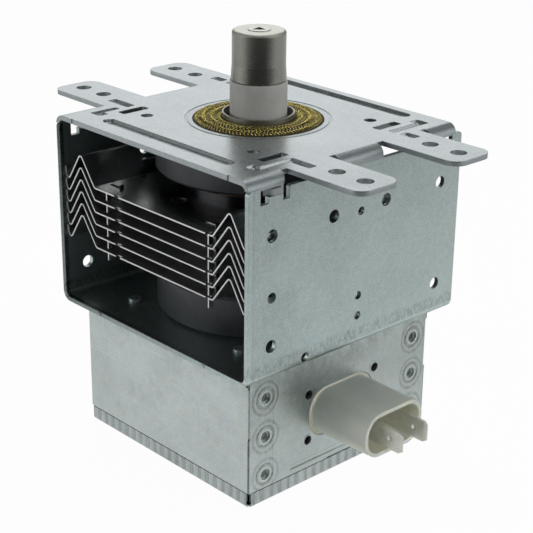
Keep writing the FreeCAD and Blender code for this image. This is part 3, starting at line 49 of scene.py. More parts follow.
def reach(name):
    """Lowest and highest corner of a CAD node's box, in millimetres."""
    node = NODES[name]
    corners = [node.matrix_world @ Vector(corner) / MM for corner in node.bound_box]
    lowest = [round(min(corner[k] for corner in corners), 3) for k in range(3)]
    highest = [round(max(corner[k] for corner in corners), 3) for k in range(3)]
    return lowest, highest


# Camera, found from the places of holes and corners in the photograph
CAMERA_AZIMUTH = 46.731
CAMERA_ELEVATION = 22.111
CAMERA_ROLL = 0.7365
CAMERA_DISTANCE = 409.73
CAMERA_SIDE = 2.3435
CAMERA_RISE = -42.7408
CAMERA_FOCAL_PIXELS = 1425.57
PICTURE_PIXELS = 533
SENSOR_WIDTH = 36.0

# Knitted gasket: the crown of its solid, and the loops of wire on it
# Lean and neck count in lengths of a loop, reach in pitches of the rows, and the phase in radians
# The knit gets painted shade by its height over the crown
GASKET_INNER = 10.75
GASKET_OUTER = 18.55
GASKET_MIDDLE = (GASKET_INNER + GASKET_OUTER) / 2
GASKET_HALF = (GASKET_OUTER - GASKET_INNER) / 2
GASKET_CROWN = 0.95
GASKET_INNER_TOP = 0.4
GASKET_EDGE_TOP = 0.05
KNIT_SEED = 4
KNIT_ROWS = 6
KNIT_PITCH = (GASKET_OUTER - GASKET_INNER) / KNIT_ROWS
KNIT_LOOP = 2.1
KNIT_STEPS = 14
KNIT_WIRE = 0.125
KNIT_WIRE_SIDES = 4
KNIT_LEAN = 0.30
KNIT_NECK = 0.16
KNIT_REACH = 0.74
KNIT_LIFT = 0.02
KNIT_CROSSING = 0.19
KNIT_PHASE = (0.0, 6.28)
KNIT_WANDER = (-0.12, 0.12)
KNIT_TALLNESS = (0.85, 1.15)
KNIT_SINK = (-0.10, 0.06)
KNIT_SHADED = (-0.22, 0.14)

# Top plate: the worn ring round the gasket and the painted highlight on the rim at it, as radii, a
# painted shade that grows toward +X and -Y, and the bends that lead to the ears, which also get painted
# shade
PLATE_RING = (19.2, 20.6)
PLATE_RIM_HIGHLIGHT = (GASKET_OUTER + 0.05, GASKET_OUTER + 0.45)
PLATE_SHADE = (30.0, 70.0)
BEND_START = (39.0, 39.8)
BEND_DEPTH = (-0.15, -0.6)

# Yoke's walls: heights of the rub marks, the fold's painted shadow and highlight, the painted shade and
# painted light, and the sheared front edge with its painted shade
YOKE_BOTTOM = reach("lower_yoke")[0][2]
YOKE_RUB = (YOKE_BOTTOM + 2.6, YOKE_BOTTOM + 6.0)
YOKE_FOLD_SHADOW = (YOKE_BOTTOM + 1.1, YOKE_BOTTOM + 1.5)
YOKE_FOLD_HIGHLIGHT = (YOKE_BOTTOM + 1.7, YOKE_BOTTOM + 2.5)
YOKE_UPPER_SHADE = (-32.0, -4.0)
YOKE_LOWER_PAINTED_LIGHT = (-30.0, -52.0)
YOKE_BACK_PAINTED_LIGHT = (-10.0, 40.0)
YOKE_EDGE_LINE = (-39.75, -39.45)
YOKE_FRONT_EDGE = (-39.8, -40.1)
YOKE_FRONT_SHADE = (36.0, -40.0)

# Filter box: the rubbed zone under the yoke, and the lid's flutes
# Side plate: its clinch joints with the radii of their rings, their rims' painted highlight and their
# cups' painted shade, its folds, painted light, end, and the rib drawn with painted shade and highlight
BOX_HALF_DEPTH = reach("filter_side_plate")[1][1]
BOX_RUB = (YOKE_BOTTOM - 9.0, YOKE_BOTTOM - 0.5)
CLINCH_Y = BOX_HALF_DEPTH - 6.21
CLINCH_ROWS = [YOKE_BOTTOM - 7.9 - 11.95 * row for row in range(3)]
CLINCH_OUTER_RING = (4.4, 5.2)
CLINCH_INNER_RING = (2.6, 3.5)
CLINCH_RIM_HIGHLIGHT = (1.75, 2.10)
CLINCH_CUP_SHADE = (1.45, 1.05)
SIDE_STRIP = (26.6, 27.2)
SIDE_FOLDS = ((-27.3, -27.1), (25.9, 26.1))
SIDE_FRONT_PAINTED_LIGHT = (-12.0, -34.0)
SIDE_LOWER_PAINTED_LIGHT = (-72.0, -88.0)
SIDE_END = (BOX_HALF_DEPTH - 0.26, BOX_HALF_DEPTH - 0.16)
RIB_LENGTH = (-1.0, 20.3)
RIB_UPPER_SHADE = (-91.0, -90.7)
RIB_FACE_HIGHLIGHT = (-92.1, -91.1)
RIB_LOWER_SHADE = (-92.5, -92.2)
FLUTE_PITCH = 3.4

# Stains on the walls: middle and reach along Y and Z, and how dark they are
YOKE_STAINS = (
    ((-30.0, -37.0), (8.0, 7.0), 0.10),
    ((-31.0, -20.0), (9.0, 5.0), 0.04),
)
SIDE_STAINS = (
    ((-15.0, -66.0), (12.0, 6.5), 0.17),
    ((6.0, -64.0), (9.0, 4.5), 0.12),
    ((-14.5, -75.0), (4.5, 9.0), 0.10),
)

# Socket: its middle height and tip come from its node, whose foot is wider than the shell
SOCKET_BOX = reach("connector_shell")
SOCKET_Z = (SOCKET_BOX[0][2] + SOCKET_BOX[1][2]) / 2
SOCKET_TIP = SOCKET_BOX[1][0]
SOCKET_HALF_WIDTH = 11.6
SOCKET_HALF_HEIGHT = 6.75
SOCKET_WALL = 1.15
SOCKET_BORE = SOCKET_HALF_HEIGHT - SOCKET_WALL
SOCKET_FOOT = 36.9
# Painted light inside the hollow, along X, and below the middle, along Z
SOCKET_INSIDE_PAINTED_LIGHT = (57.2, 48.0)
SOCKET_LOWER_PAINTED_LIGHT = (1.5, -5.5)

# Fins: the sheared ends, the pierced tongues near the corners with their painted shade, and the painted
# shade (top fin) and painted light (lower fins) toward the magnets
FIN_HALF_DEPTH = reach("cooling_fin_1")[1][1]
FIN_SHEARED = (FIN_HALF_DEPTH - 0.25, FIN_HALF_DEPTH - 0.10)
TONGUE_X = (19.9, 21.75)
TONGUE_Y = (33.65, 35.15)
MAGNET_LIGHT_AND_SHADE = (36.0, 28.0)

# Antenna cap: where its lighter top begins
CAP_TOP_START = 24.9

# Floor, and what mirrored rays see of it along one direction: dark in front and pale behind
# This direction's range is in metres
LID_BOTTOM = reach("filter_lid")[0][2]
FLOOR_SIZE = 4000.0
FLOOR_GAP = 0.02
FLOOR_WHITE = 0.97
FLOOR_BEHIND = (-0.73, 0.68, 0.0)
FLOOR_BEHIND_RANGE = (-0.335, -0.20)
FLOOR_MIRRORED = (0.08, 0.72)

# Surroundings, lighter toward one direction
SKY_TOWARD = (-0.55, 0.50, 0.67)
SKY_RANGE = (-0.4, 1.0)
SKY_LEVEL = (0.015, 0.13)

# Lamps: place, aim and size in metres, brightness of the face, and spread
# They stand behind, above and to both sides, so that the camera's side stays darker
LAMPS = (
    ("back_left", (-0.70, 0.62, 0.36), (0, 0, -0.02), (0.80, 0.55), 0.52, 120),
    ("right", (0.95, 0.44, 0.33), (0, 0, -0.04), (1.10, 0.60), 0.95, 120),
    ("left", (-0.43, -0.85, 0.17), (0, 0, -0.02), (0.95, 0.42), 0.78, 110),
    ("front", (0.42, -0.50, 0.72), (0, 0, -0.04), (0.45, 0.35), 0.22, 110),
    ("low_front", (0.33, -0.13, -0.055), (0.062, 0, -0.078), (0.06, 0.05), 0.34, 20),
    ("top", (-0.20, 0.25, 0.85), (0, 0, -0.05), (0.60, 0.60), 0.55, 70),
)


def rgb(r, g, b):
    """Colour with full opacity."""
    return (r, g, b, 1.0)


class Nodes:
    """The nodes of one tree, which starts empty."""

    def __init__(self, owner):
        owner.use_nodes = True
        self.tree = owner.node_tree
        self.tree.nodes.clear()

    def node(self, kind, inputs=(), **settings):
        """A node with its settings, whose inputs are numbers, colours or other nodes' sockets."""
        made = self.tree.nodes.new(kind)
        for name, value in settings.items():
            setattr(made, name, value)
        for key, value in dict(inputs).items():
            self.put(made.inputs[key], value)
        return made

    def put(self, socket, value):
        """Sets a socket to a number or links it to another node's socket."""
        if isinstance(value, bpy.types.NodeSocket):
            self.tree.links.new(value, socket)
        else:
            socket.default_value = value

    def remap(self, value, start, end, first=0.0, last=1.0, smooth=False):
        """A value taken from one range to another and kept inside it."""
        made = self.node("ShaderNodeMapRange", {
            "Value": value, "From Min": start, "From Max": end, "To Min": first, "To Max": last,
        }, interpolation_type="SMOOTHSTEP" if smooth else "LINEAR")
        return made.outputs["Result"]

    def along(self, vector, direction):
        """How far a vector goes in one direction."""
        made = self.node("ShaderNodeVectorMath", {0: vector, 1: direction}, operation="DOT_PRODUCT")
        return made.outputs["Value"]

    def calc(self, operation, first, second=0.0):
        """One step of arithmetic."""
        return self.node("ShaderNodeMath", {0: first, 1: second}, operation=operation).outputs["Value"]

    def add(self, first, second):
        """Sum of two values."""
        return self.calc("ADD", first, second)

    def less(self, first, second):
        """First value less the second."""
        return self.calc("SUBTRACT", first, second)

    def times(self, first, second):
        """Product of two values."""
        return self.calc("MULTIPLY", first, second)

    def larger(self, first, second):
        """The larger of two values."""
        return self.calc("MAXIMUM", first, second)

    def size(self, value):
        """A value without its sign."""
        return self.calc("ABSOLUTE", value)

    def distance(self, first, second):
        """Length of a step whose two parts are given."""
        return self.calc("SQRT", self.add(self.times(first, first), self.times(second, second)))


class Surface(Nodes):
    """One procedural material, built socket by socket."""

    def __init__(self, name):
        self.material = bpy.data.materials.new(name)
        super().__init__(self.material)
        self.shader = self.node("ShaderNodeBsdfPrincipled")
        self.output = self.node("ShaderNodeOutputMaterial", {"Surface": self.shader.outputs["BSDF"]})
        self.place = self.node("ShaderNodeTexCoord").outputs["Object"]

    def set(self, **values):
        """Sets the shader's own sockets, named with underscores for spaces."""
        for key, value in values.items():
            self.put(self.shader.inputs[key.replace("_", " ")], value)

    def axis(self, name):
        """One coordinate of the place, in millimetres."""
        split = self.node("ShaderNodeSeparateXYZ", {"Vector": self.place})
        return self.calc("DIVIDE", split.outputs[name], MM)

    def scaled(self, x=1.0, y=1.0, z=1.0, shift=(0, 0, 0), turn=(0, 0, 0)):
        """Coordinates in millimetres, stretched along each axis, turned by angles in radians."""
        mapping = self.node("ShaderNodeMapping", {
            "Vector": self.place, "Scale": (x / MM, y / MM, z / MM), "Location": shift, "Rotation": turn,
        })
        return mapping.outputs["Vector"]

    def noise(self, vector, scale, detail=4.0, roughness=0.55):
        """Noise from 0 to 1."""
        made = self.node("ShaderNodeTexNoise", {
            "Vector": vector, "Scale": scale, "Detail": detail, "Roughness": roughness,
        })
        return made.outputs["Fac"]

    def cells(self, vector, scale, output="Distance"):
        """Cells for specks, grains and spangle."""
        return self.node("ShaderNodeTexVoronoi", {"Vector": vector, "Scale": scale}).outputs[output]

    def vary(self, noise, low, high):
        """The middle values of a noise, spread over a range."""
        return self.remap(noise, 0.3, 0.7, low, high)

    def band(self, coordinate, ends, soft):
        """1 between two values of a coordinate, with soft ends."""
        up = self.remap(coordinate, ends[0] - soft, ends[0] + soft, smooth=True)
        down = self.remap(coordinate, ends[1] - soft, ends[1] + soft, 1.0, 0.0, smooth=True)
        return self.times(up, down)

    def scratches(self, turn, seed, width=5.0, length=0.05, threshold=0.72):
        """Thin broken streaks in one direction, 1 on the streak."""
        vector = self.scaled(length, width, width, shift=(seed, seed * 0.7, seed * 1.3), turn=turn)
        lines = self.noise(vector, 1.0, 2.0, 0.4)
        return self.remap(lines, threshold, threshold + 0.04)

    def blend(self, factor, first, second):
        """Colour between two others."""
        made = self.node("ShaderNodeMix", {"Factor": factor}, data_type="RGBA")
        self.put(made.inputs[6], first)
        self.put(made.inputs[7], second)
        return made.outputs[2]

    def cloudy(self, noise, first, second):
        """Colour that goes from one to another with a noise."""
        return self.blend(self.remap(noise, 0.35, 0.65), first, second)

    def shade(self, factor, color):
        """A colour multiplied by a grey value."""
        made = self.node("ShaderNodeVectorMath", {0: color, "Scale": factor}, operation="SCALE")
        return made.outputs["Vector"]

    def edge(self, radius):
        """Normal with its sharp corners rounded a little."""
        return self.node("ShaderNodeBevel", {"Radius": radius * MM}, samples=4).outputs["Normal"]

    def bump(self, height, depth, normal=None):
        """Normal bent by a height that stands so many millimetres high."""
        inputs = {"Height": height, "Distance": depth * MM}
        if normal is not None:
            inputs["Normal"] = normal
        return self.node("ShaderNodeBump", inputs).outputs["Normal"]


class Zinc(Surface):
    """Zinc-plated sheet: fine mottle, streaks, stains, faint crystals and hairline scratches.

    Marks change its level, roughness and normal, and finish joins these to the shader.
    """

    def __init__(self, name, tone, roughness, seed, edge=0.2, stains=0.10, grain=0.06):
        super().__init__(name)
        mottle = self.noise(self.scaled(shift=(seed, 0, 0)), 1.6, 6.0, 0.7)
        streaks = self.noise(self.scaled(shift=(0, seed, 0)), 1.0, 4.0, 0.6)
        clouds = self.noise(self.scaled(shift=(seed, seed, 0)), 0.06, 3.0, 0.5)
        crystals = self.cells(self.scaled(shift=(0, seed, seed)), 0.55, output="Color")
        crystal = self.node("ShaderNodeSeparateColor", {"Color": crystals}).outputs["Red"]
        hair = self.scratches((0.0, 0.4, 0.3), seed + 3.0)
        self.level = self.add(self.vary(mottle, -grain, grain), 1.0)
        self.lighten(self.vary(streaks, -grain * 0.6, grain * 0.6))
        self.lighten(self.remap(clouds, 0.35, 0.65, -stains, stains * 0.5))
        self.lighten(self.remap(crystal, 0.0, 1.0, -0.015, 0.015))
        self.lighten(self.times(hair, 0.10))
        self.rough = self.add(self.vary(mottle, roughness - 0.05, roughness + 0.06),
                              self.remap(crystal, 0.0, 1.0, -0.02, 0.02))
        self.tone = tone
        self.normal = self.bump(mottle, 0.012, self.edge(edge))
        self.normal = self.bump(streaks, 0.006, self.normal)

    def lighten(self, amount):
        """Adds a changing amount to the level."""
        self.level = self.add(self.level, amount)

    def darken(self, mask, amount):
        """Takes an amount off the level where a mask is 1."""
        self.level = self.less(self.level, self.times(mask, amount))

    def grainy(self, seed, depth):
        """Fine matt grain of galvanised sheet, in two sizes."""
        fine = self.noise(self.scaled(shift=(seed, 4, 2)), 2.2, 2.0, 0.5)
        soft = self.noise(self.scaled(shift=(2, seed, 4)), 0.55, 3.0, 0.6)
        self.lighten(self.vary(fine, -depth, depth))
        self.lighten(self.vary(soft, -depth * 0.4, depth * 0.4))

    def stain(self, y, z, middle, extent, amount):
        """Round cloudy stain about a place on a side wall."""
        away = self.distance(self.calc("DIVIDE", self.less(y, middle[0]), extent[0]),
                             self.calc("DIVIDE", self.less(z, middle[1]), extent[1]))
        uneven = self.noise(self.scaled(shift=(middle[0], 0, middle[1])), 0.5, 5.0, 0.65)
        away = self.add(away, self.vary(uneven, -0.5, 0.5))
        self.darken(self.remap(away, 1.1, 0.3, smooth=True), amount)

    def finish(self):
        """Joins level, roughness and normal to the shader, with bluish and olive mottle."""
        red, green, blue = self.tone
        tint = self.noise(self.scaled(shift=(9, 1, 4)), 0.8, 3.0, 0.6)
        cool = rgb(red * 0.965, green * 0.995, blue * 1.03)
        warm = rgb(red * 1.035, green * 1.005, blue * 0.97)
        self.set(Base_Color=self.shade(self.level, self.cloudy(tint, cool, warm)), Metallic=1.0)
        self.set(Roughness=self.rough, Normal=self.normal)
        return self.material


def plate_zinc():
    """Top plate: smooth zinc, worn in a ring round the gasket, with a painted highlight on the rim at
    the gasket, painted shade toward +X and -Y, and rougher bends with painted shade.
    """
    s = Zinc("zinc_top_plate", (0.395, 0.435, 0.445), 0.30, 1.0, edge=0.3, stains=0.05, grain=0.03)
    s.grainy(1.0, 0.07)
    x = s.axis("X")
    y = s.axis("Y")
    radius = s.distance(x, y)
    worn = s.noise(s.scaled(), 0.25, 3.0)
    s.darken(s.band(s.add(radius, s.vary(worn, -0.8, 0.8)), PLATE_RING, 0.25), 0.09)
    # Painted highlight on the rim of the hole at the gasket
    s.darken(s.band(radius, PLATE_RIM_HIGHLIGHT, 0.08), -0.22)
    # Painted shade that grows toward +X and -Y
    s.darken(s.remap(s.less(x, y), *PLATE_SHADE), 0.06)
    bends = s.times(s.remap(s.size(x), *BEND_START, smooth=True),
                    s.remap(s.axis("Z"), *BEND_DEPTH, smooth=True))
    s.rough = s.add(s.rough, s.times(bends, 0.20))
    # Painted shade on the bends, beside their real roughness
    s.darken(bends, 0.06)
    return s.finish()


def yoke_zinc():
    """Yoke's walls: grainy greenish zinc, rubbed above the lower bend, with painted shadow and highlight
    along the fold, painted shade toward the top and along its front edge, and painted light toward the
    bottom and the back.
    """
    s = Zinc("zinc_lower_yoke", (0.465, 0.545, 0.535), 0.42, 5.0, edge=0.3, stains=0.05, grain=0.02)
    s.grainy(5.0, 0.14)
    y = s.axis("Y")
    z = s.axis("Z")
    rub = s.noise(s.scaled(0.8, 0.8, 0.35, shift=(1, 3, 0)), 1.6, 6.0, 0.75)
    s.darken(s.times(s.band(z, YOKE_RUB, 0.8), s.remap(rub, 0.46, 0.56)), 0.30)
    # Painted shadow and painted highlight of the fold above the lower bend
    s.darken(s.band(z, YOKE_FOLD_SHADOW, 0.12), 0.22)
    s.darken(s.band(z, YOKE_FOLD_HIGHLIGHT, 0.12), -0.14)
    s.darken(s.band(y, YOKE_EDGE_LINE, 0.10), 0.12)
    # Painted shade toward the top, and painted light toward the bottom and the back
    s.darken(s.remap(z, *YOKE_UPPER_SHADE), 0.15)
    s.darken(s.remap(z, *YOKE_LOWER_PAINTED_LIGHT), -0.07)
    s.darken(s.remap(y, *YOKE_BACK_PAINTED_LIGHT), -0.05)
    # Painted shade along the front edge, strongest on the -X wall
    front_shade = s.remap(s.axis("X"), *YOKE_FRONT_SHADE, -0.07, 0.60)
    s.darken(s.remap(y, *YOKE_FRONT_EDGE), front_shade)
    for stain in YOKE_STAINS:
        s.stain(y, z, *stain)
    specks = s.cells(s.scaled(shift=(7, 0, 0)), 0.16)
    s.darken(s.remap(specks, 0.05, 0.02), 0.35)
    return s.finish()


def box_zinc(name, seed, tone):
    """Filter box: pale grainy zinc with upright rub marks and patches under the yoke."""
    s = Zinc(name, tone, 0.40, seed, stains=0.07, grain=0.02)
    s.grainy(seed, 0.09)
    near_top = s.remap(s.axis("Z"), *BOX_RUB, smooth=True)
    rubs = s.noise(s.scaled(0.40, 0.40, 0.16, shift=(seed, 2, 0)), 1.0, 6.0, 0.7)
    s.darken(s.times(near_top, s.remap(rubs, 0.42, 0.62)), 0.20)
    patches = s.noise(s.scaled(shift=(seed, 9, 1)), 0.16, 5.0, 0.6)
    s.darken(s.remap(patches, 0.52, 0.68), 0.07)
    s.lighten(s.times(s.scratches((0.0, 1.45, 0.1), seed + 9.0, 3.0, 0.05, 0.68), 0.10))
    return s


def case_zinc():
    """Case of the filter box: the box's zinc at its palest."""
    return box_zinc("zinc_case", 21.0, (0.605, 0.67, 0.66)).finish()


def side_plate_zinc():
    """Side plate: rings pressed round each clinch joint with painted highlight on their rims and painted
    shade in their cups, folds, a rib of painted shade and highlight, stains beside the socket, and
    painted light toward -Y and the bottom.
    """
    s = box_zinc("zinc_side_plate", 11.0, (0.485, 0.545, 0.53))
    y = s.axis("Y")
    z = s.axis("Z")
    aside = s.size(y)
    side = s.less(aside, CLINCH_Y)
    rings = 0.0
    rim_highlights = 0.0
    cup_shade = 0.0
    for row in CLINCH_ROWS:
        away = s.distance(side, s.less(z, row))
        rings = s.add(s.band(away, CLINCH_OUTER_RING, 0.3), rings)
        rings = s.add(s.band(away, CLINCH_INNER_RING, 0.25), rings)
        rim_highlights = s.add(s.band(away, CLINCH_RIM_HIGHLIGHT, 0.10), rim_highlights)
        cup_shade = s.add(s.remap(away, *CLINCH_CUP_SHADE), cup_shade)
    wear = s.noise(s.scaled(shift=(3, 3, 3)), 0.8, 5.0, 0.7)
    s.darken(s.times(rings, s.remap(wear, 0.3, 0.6, 0.5, 1.0)), 0.28)
    # Painted highlight on the clinch rims and painted shade in their cups
    s.darken(rim_highlights, -0.28)
    s.darken(cup_shade, 0.62)
    s.darken(s.times(s.remap(aside, *SIDE_STRIP, smooth=True), s.remap(wear, 0.40, 0.60)), 0.10)
    s.normal = s.bump(rings, -0.06, s.normal)
    for stain in SIDE_STAINS:
        s.stain(y, z, *stain)
    # Painted light toward -Y and toward the bottom
    s.darken(s.remap(y, *SIDE_FRONT_PAINTED_LIGHT), -0.06)
    s.darken(s.remap(z, *SIDE_LOWER_PAINTED_LIGHT), -0.15)
    for fold in SIDE_FOLDS:
        s.darken(s.band(y, fold, 0.05), 0.16)
    # The rib is drawn with painted shade along its edges and painted highlight on its face
    rib = s.band(aside, RIB_LENGTH, 0.15)
    for ends, amount in ((RIB_UPPER_SHADE, 0.35), (RIB_FACE_HIGHLIGHT, -0.08), (RIB_LOWER_SHADE, 0.35)):
        s.darken(s.times(s.band(z, ends, 0.08), rib), amount)
    s.darken(s.remap(aside, *SIDE_END), 0.75)
    return s.finish()


def lid_zinc():
    """Lid: the box's zinc with pressed flutes, painted shade in their troughs and painted highlight on
    their crests.
    """
    s = box_zinc("zinc_lid", 17.0, (0.50, 0.56, 0.555))
    uneven = s.noise(s.scaled(0.3, 0.3, 0.1, shift=(4, 0, 1)), 1.0, 2.0)
    along_wall = s.add(s.axis("X"), s.axis("Y"))
    phase = s.add(s.times(along_wall, 2 * math.pi / FLUTE_PITCH), s.remap(uneven, 0.0, 1.0, -1.2, 1.2))
    flutes = s.calc("SINE", phase)
    s.normal = s.bump(flutes, 0.22, s.normal)
    # Painted shade in the flutes' troughs and painted highlight on their crests
    s.darken(s.remap(flutes, -0.75, -0.98), 0.24)
    s.darken(s.remap(flutes, 0.2, 0.95), -0.06)
    return s.finish()


def earth_plate_zinc():
    """Plain zinc of the plate inside the box."""
    return Zinc("zinc_earth_plate", (0.42, 0.46, 0.46), 0.36, 31.0).finish()


def ferrite(name):
    """Dark fired ferrite with fine pores and chipped pale specks."""
    s = Surface(name)
    fine = s.noise(s.scaled(), 3.0, 6.0, 0.7)
    patches = s.noise(s.scaled(), 0.12, 3.0)
    chips = s.remap(s.cells(s.scaled(), 0.9), 0.10, 0.04)
    base = s.cloudy(patches, rgb(0.036, 0.042, 0.046), rgb(0.060, 0.068, 0.072))
    base = s.blend(s.times(chips, 0.35), base, rgb(0.16, 0.17, 0.18))
    s.set(Base_Color=base, Roughness=s.vary(fine, 0.34, 0.52), Specular_IOR_Level=0.5)
    s.set(Normal=s.bump(fine, 0.03, s.edge(0.2)))
    return s.material


def aluminium(name, tongue_shade, magnet_light_and_shade, dullness):
    """Rolled fin sheet: pale sheared edges, flats with fine rolling lines and painted shade, and pierced
    tongues.

    The flats take a painted colour toward the magnets, painted shade on the top fin and painted light on
    the others, and the tongues get a grey of painted shade.
    """
    s = Surface(name)
    lines = s.noise(s.scaled(0.04, 3.0, 1.0), 1.0, 5.0, 0.6)
    clouds = s.noise(s.scaled(), 0.15, 3.0)
    hair = s.scratches((0.0, 0.0, 0.5), 2.0, 6.0, 0.08)
    depth = s.size(s.axis("Y"))
    across = s.size(s.axis("X"))
    sheared = s.remap(depth, *FIN_SHEARED)
    # The flats are painted darker than the sheared edges as shade
    shaded_flat = s.cloudy(clouds, rgb(0.42, 0.43, 0.43), rgb(0.50, 0.51, 0.51))
    shaded_flat = s.blend(s.times(hair, 0.3), shaded_flat, rgb(0.5, 0.5, 0.5))
    tongues = s.times(s.band(across, TONGUE_X, 0.05), s.band(depth, TONGUE_Y, 0.05))
    shaded_flat = s.blend(tongues, shaded_flat, rgb(tongue_shade, tongue_shade, tongue_shade))
    inward = s.remap(s.distance(across, depth), *MAGNET_LIGHT_AND_SHADE, smooth=True)
    shaded_flat = s.blend(inward, shaded_flat, rgb(*magnet_light_and_shade))
    pale = s.cloudy(clouds, rgb(0.78, 0.795, 0.80), rgb(0.86, 0.87, 0.875))
    rough = s.add(s.vary(lines, dullness, dullness + 0.10), s.times(sheared, 0.25))
    s.set(Base_Color=s.blend(sheared, shaded_flat, pale), Metallic=1.0, Roughness=rough)
    s.set(Normal=s.bump(lines, 0.003, s.edge(0.12)))
    return s.material


def copper(name, light, dark, roughness):
    """Copper with darker oxide clouds."""
    s = Surface(name)
    clouds = s.noise(s.scaled(), 0.3, 5.0)
    fine = s.noise(s.scaled(), 2.5, 4.0)
    base = s.blend(s.remap(clouds, 0.4, 0.65), rgb(*light), rgb(*dark))
    s.set(Base_Color=base, Metallic=1.0, Roughness=s.vary(fine, roughness, roughness + 0.12))
    s.set(Normal=s.bump(fine, 0.01, s.edge(0.1)))
    return s.material


def turned_metal(name, tone, roughness, line_depth=0.004, edge=0.15, bright_from=None):
    """Drawn metal with fine lines round the upright axis, pits and tarnish.

    Above the height bright_from its colour is lighter, with a duller band where that begins.
    """
    s = Surface(name)
    rings = s.noise(s.scaled(0.08, 0.08, 5.0), 1.0, 4.0, 0.6)
    haze = s.noise(s.scaled(), 0.22, 4.0)
    pits = s.cells(s.scaled(), 1.1)
    marks = s.scratches((0.3, 1.2, 0.2), 6.0, 5.0, 0.10, 0.70)
    level = s.add(s.vary(haze, 0.93, 1.03), s.vary(rings, -0.03, 0.03))
    level = s.less(level, s.remap(pits, 0.07, 0.03, 0.0, 0.25))
    level = s.add(level, s.times(marks, 0.12))
    rough = s.add(s.vary(haze, roughness - 0.02, roughness + 0.05), s.vary(rings, -0.02, 0.02))
    if bright_from is not None:
        height = s.axis("Z")
        level = s.add(level, s.remap(height, bright_from, bright_from + 0.3, 0.0, 0.75))
        rough = s.add(rough, s.times(s.band(height, (bright_from, bright_from + 0.8), 0.1), 0.35))
    s.set(Base_Color=s.shade(level, tone), Metallic=1.0, Roughness=rough)
    s.set(Normal=s.bump(rings, line_depth, s.edge(edge)))
    return s.material


def alumina():
    """Unglazed white ceramic, a little warm, with dust specks, pores and a grey rub mark."""
    s = Surface("alumina")
    fine = s.noise(s.scaled(), 4.0, 5.0, 0.7)
    clouds = s.noise(s.scaled(), 0.2, 3.0)
    specks = s.remap(s.cells(s.scaled(shift=(3, 1, 2)), 0.42), 0.055, 0.025)
    smudge = s.noise(s.scaled(1.0, 1.0, 0.6, shift=(5, 5, 1)), 0.55, 5.0, 0.7)
    base = s.cloudy(clouds, rgb(0.64, 0.64, 0.61), rgb(0.71, 0.705, 0.68))
    base = s.blend(s.times(specks, 0.75), base, rgb(0.12, 0.11, 0.10))
    base = s.blend(s.remap(smudge, 0.63, 0.72, 0.0, 0.35), base, rgb(0.20, 0.19, 0.18))
    s.set(Base_Color=base, Roughness=s.vary(fine, 0.42, 0.55), Normal=s.bump(fine, 0.015, s.edge(0.2)))
    s.set(Subsurface_Weight=0.05, Subsurface_Radius=(1.0 * MM, 0.9 * MM, 0.8 * MM))
    return s.material


def gasket_base():
    """Brass under the knitted wires, painted dark as the knit's shadow."""
    s = Surface("brass_under_knit")
    holes = s.cells(s.scaled(), 1.6)
    base = s.blend(s.remap(holes, 0.1, 0.5), rgb(0.016, 0.012, 0.003), rgb(0.060, 0.046, 0.010))
    s.set(Base_Color=base, Metallic=0.5, Roughness=0.6, Normal=s.bump(holes, 0.3))
    return s.material


def knit_brass():
    """Yellow brass wire, in its own colour where it stands up and with painted shade where it dips
    between its neighbours.
    """
    s = Surface("brass_wire")
    clouds = s.noise(s.scaled(), 0.5, 4.0)
    fine = s.noise(s.scaled(), 6.0, 3.0)
    radius = s.distance(s.axis("X"), s.axis("Y"))
    across = s.calc("DIVIDE", s.less(radius, GASKET_MIDDLE), GASKET_HALF)
    fall = s.times(s.times(across, across), GASKET_CROWN - GASKET_EDGE_TOP)
    height = s.less(s.add(s.axis("Z"), fall), GASKET_CROWN)
    lit = s.cloudy(clouds, rgb(0.50, 0.41, 0.10), rgb(0.72, 0.62, 0.22))
    base = s.blend(s.remap(height, *KNIT_SHADED, smooth=True), rgb(0.065, 0.050, 0.014), lit)
    s.set(Base_Color=base, Metallic=1.0, Roughness=s.vary(fine, 0.22, 0.38))
    return s.material


def tinned_brass():
    """Tin-plated brass tabs: soft silver with stamped edges and plug scratches."""
    s = Surface("tinned_brass")
    haze = s.noise(s.scaled(), 0.5, 4.0)
    lines = s.scratches((0.0, 0.0, 0.0), 1.0, 6.0, 0.15, 0.62)
    base = s.cloudy(haze, rgb(0.66, 0.67, 0.61), rgb(0.76, 0.77, 0.70))
    base = s.blend(s.times(lines, 0.35), base, rgb(0.85, 0.84, 0.78))
    s.set(Base_Color=base, Metallic=0.6, Roughness=s.vary(haze, 0.34, 0.46))
    s.set(Normal=s.bump(haze, 0.01, s.edge(0.2)))
    return s.material


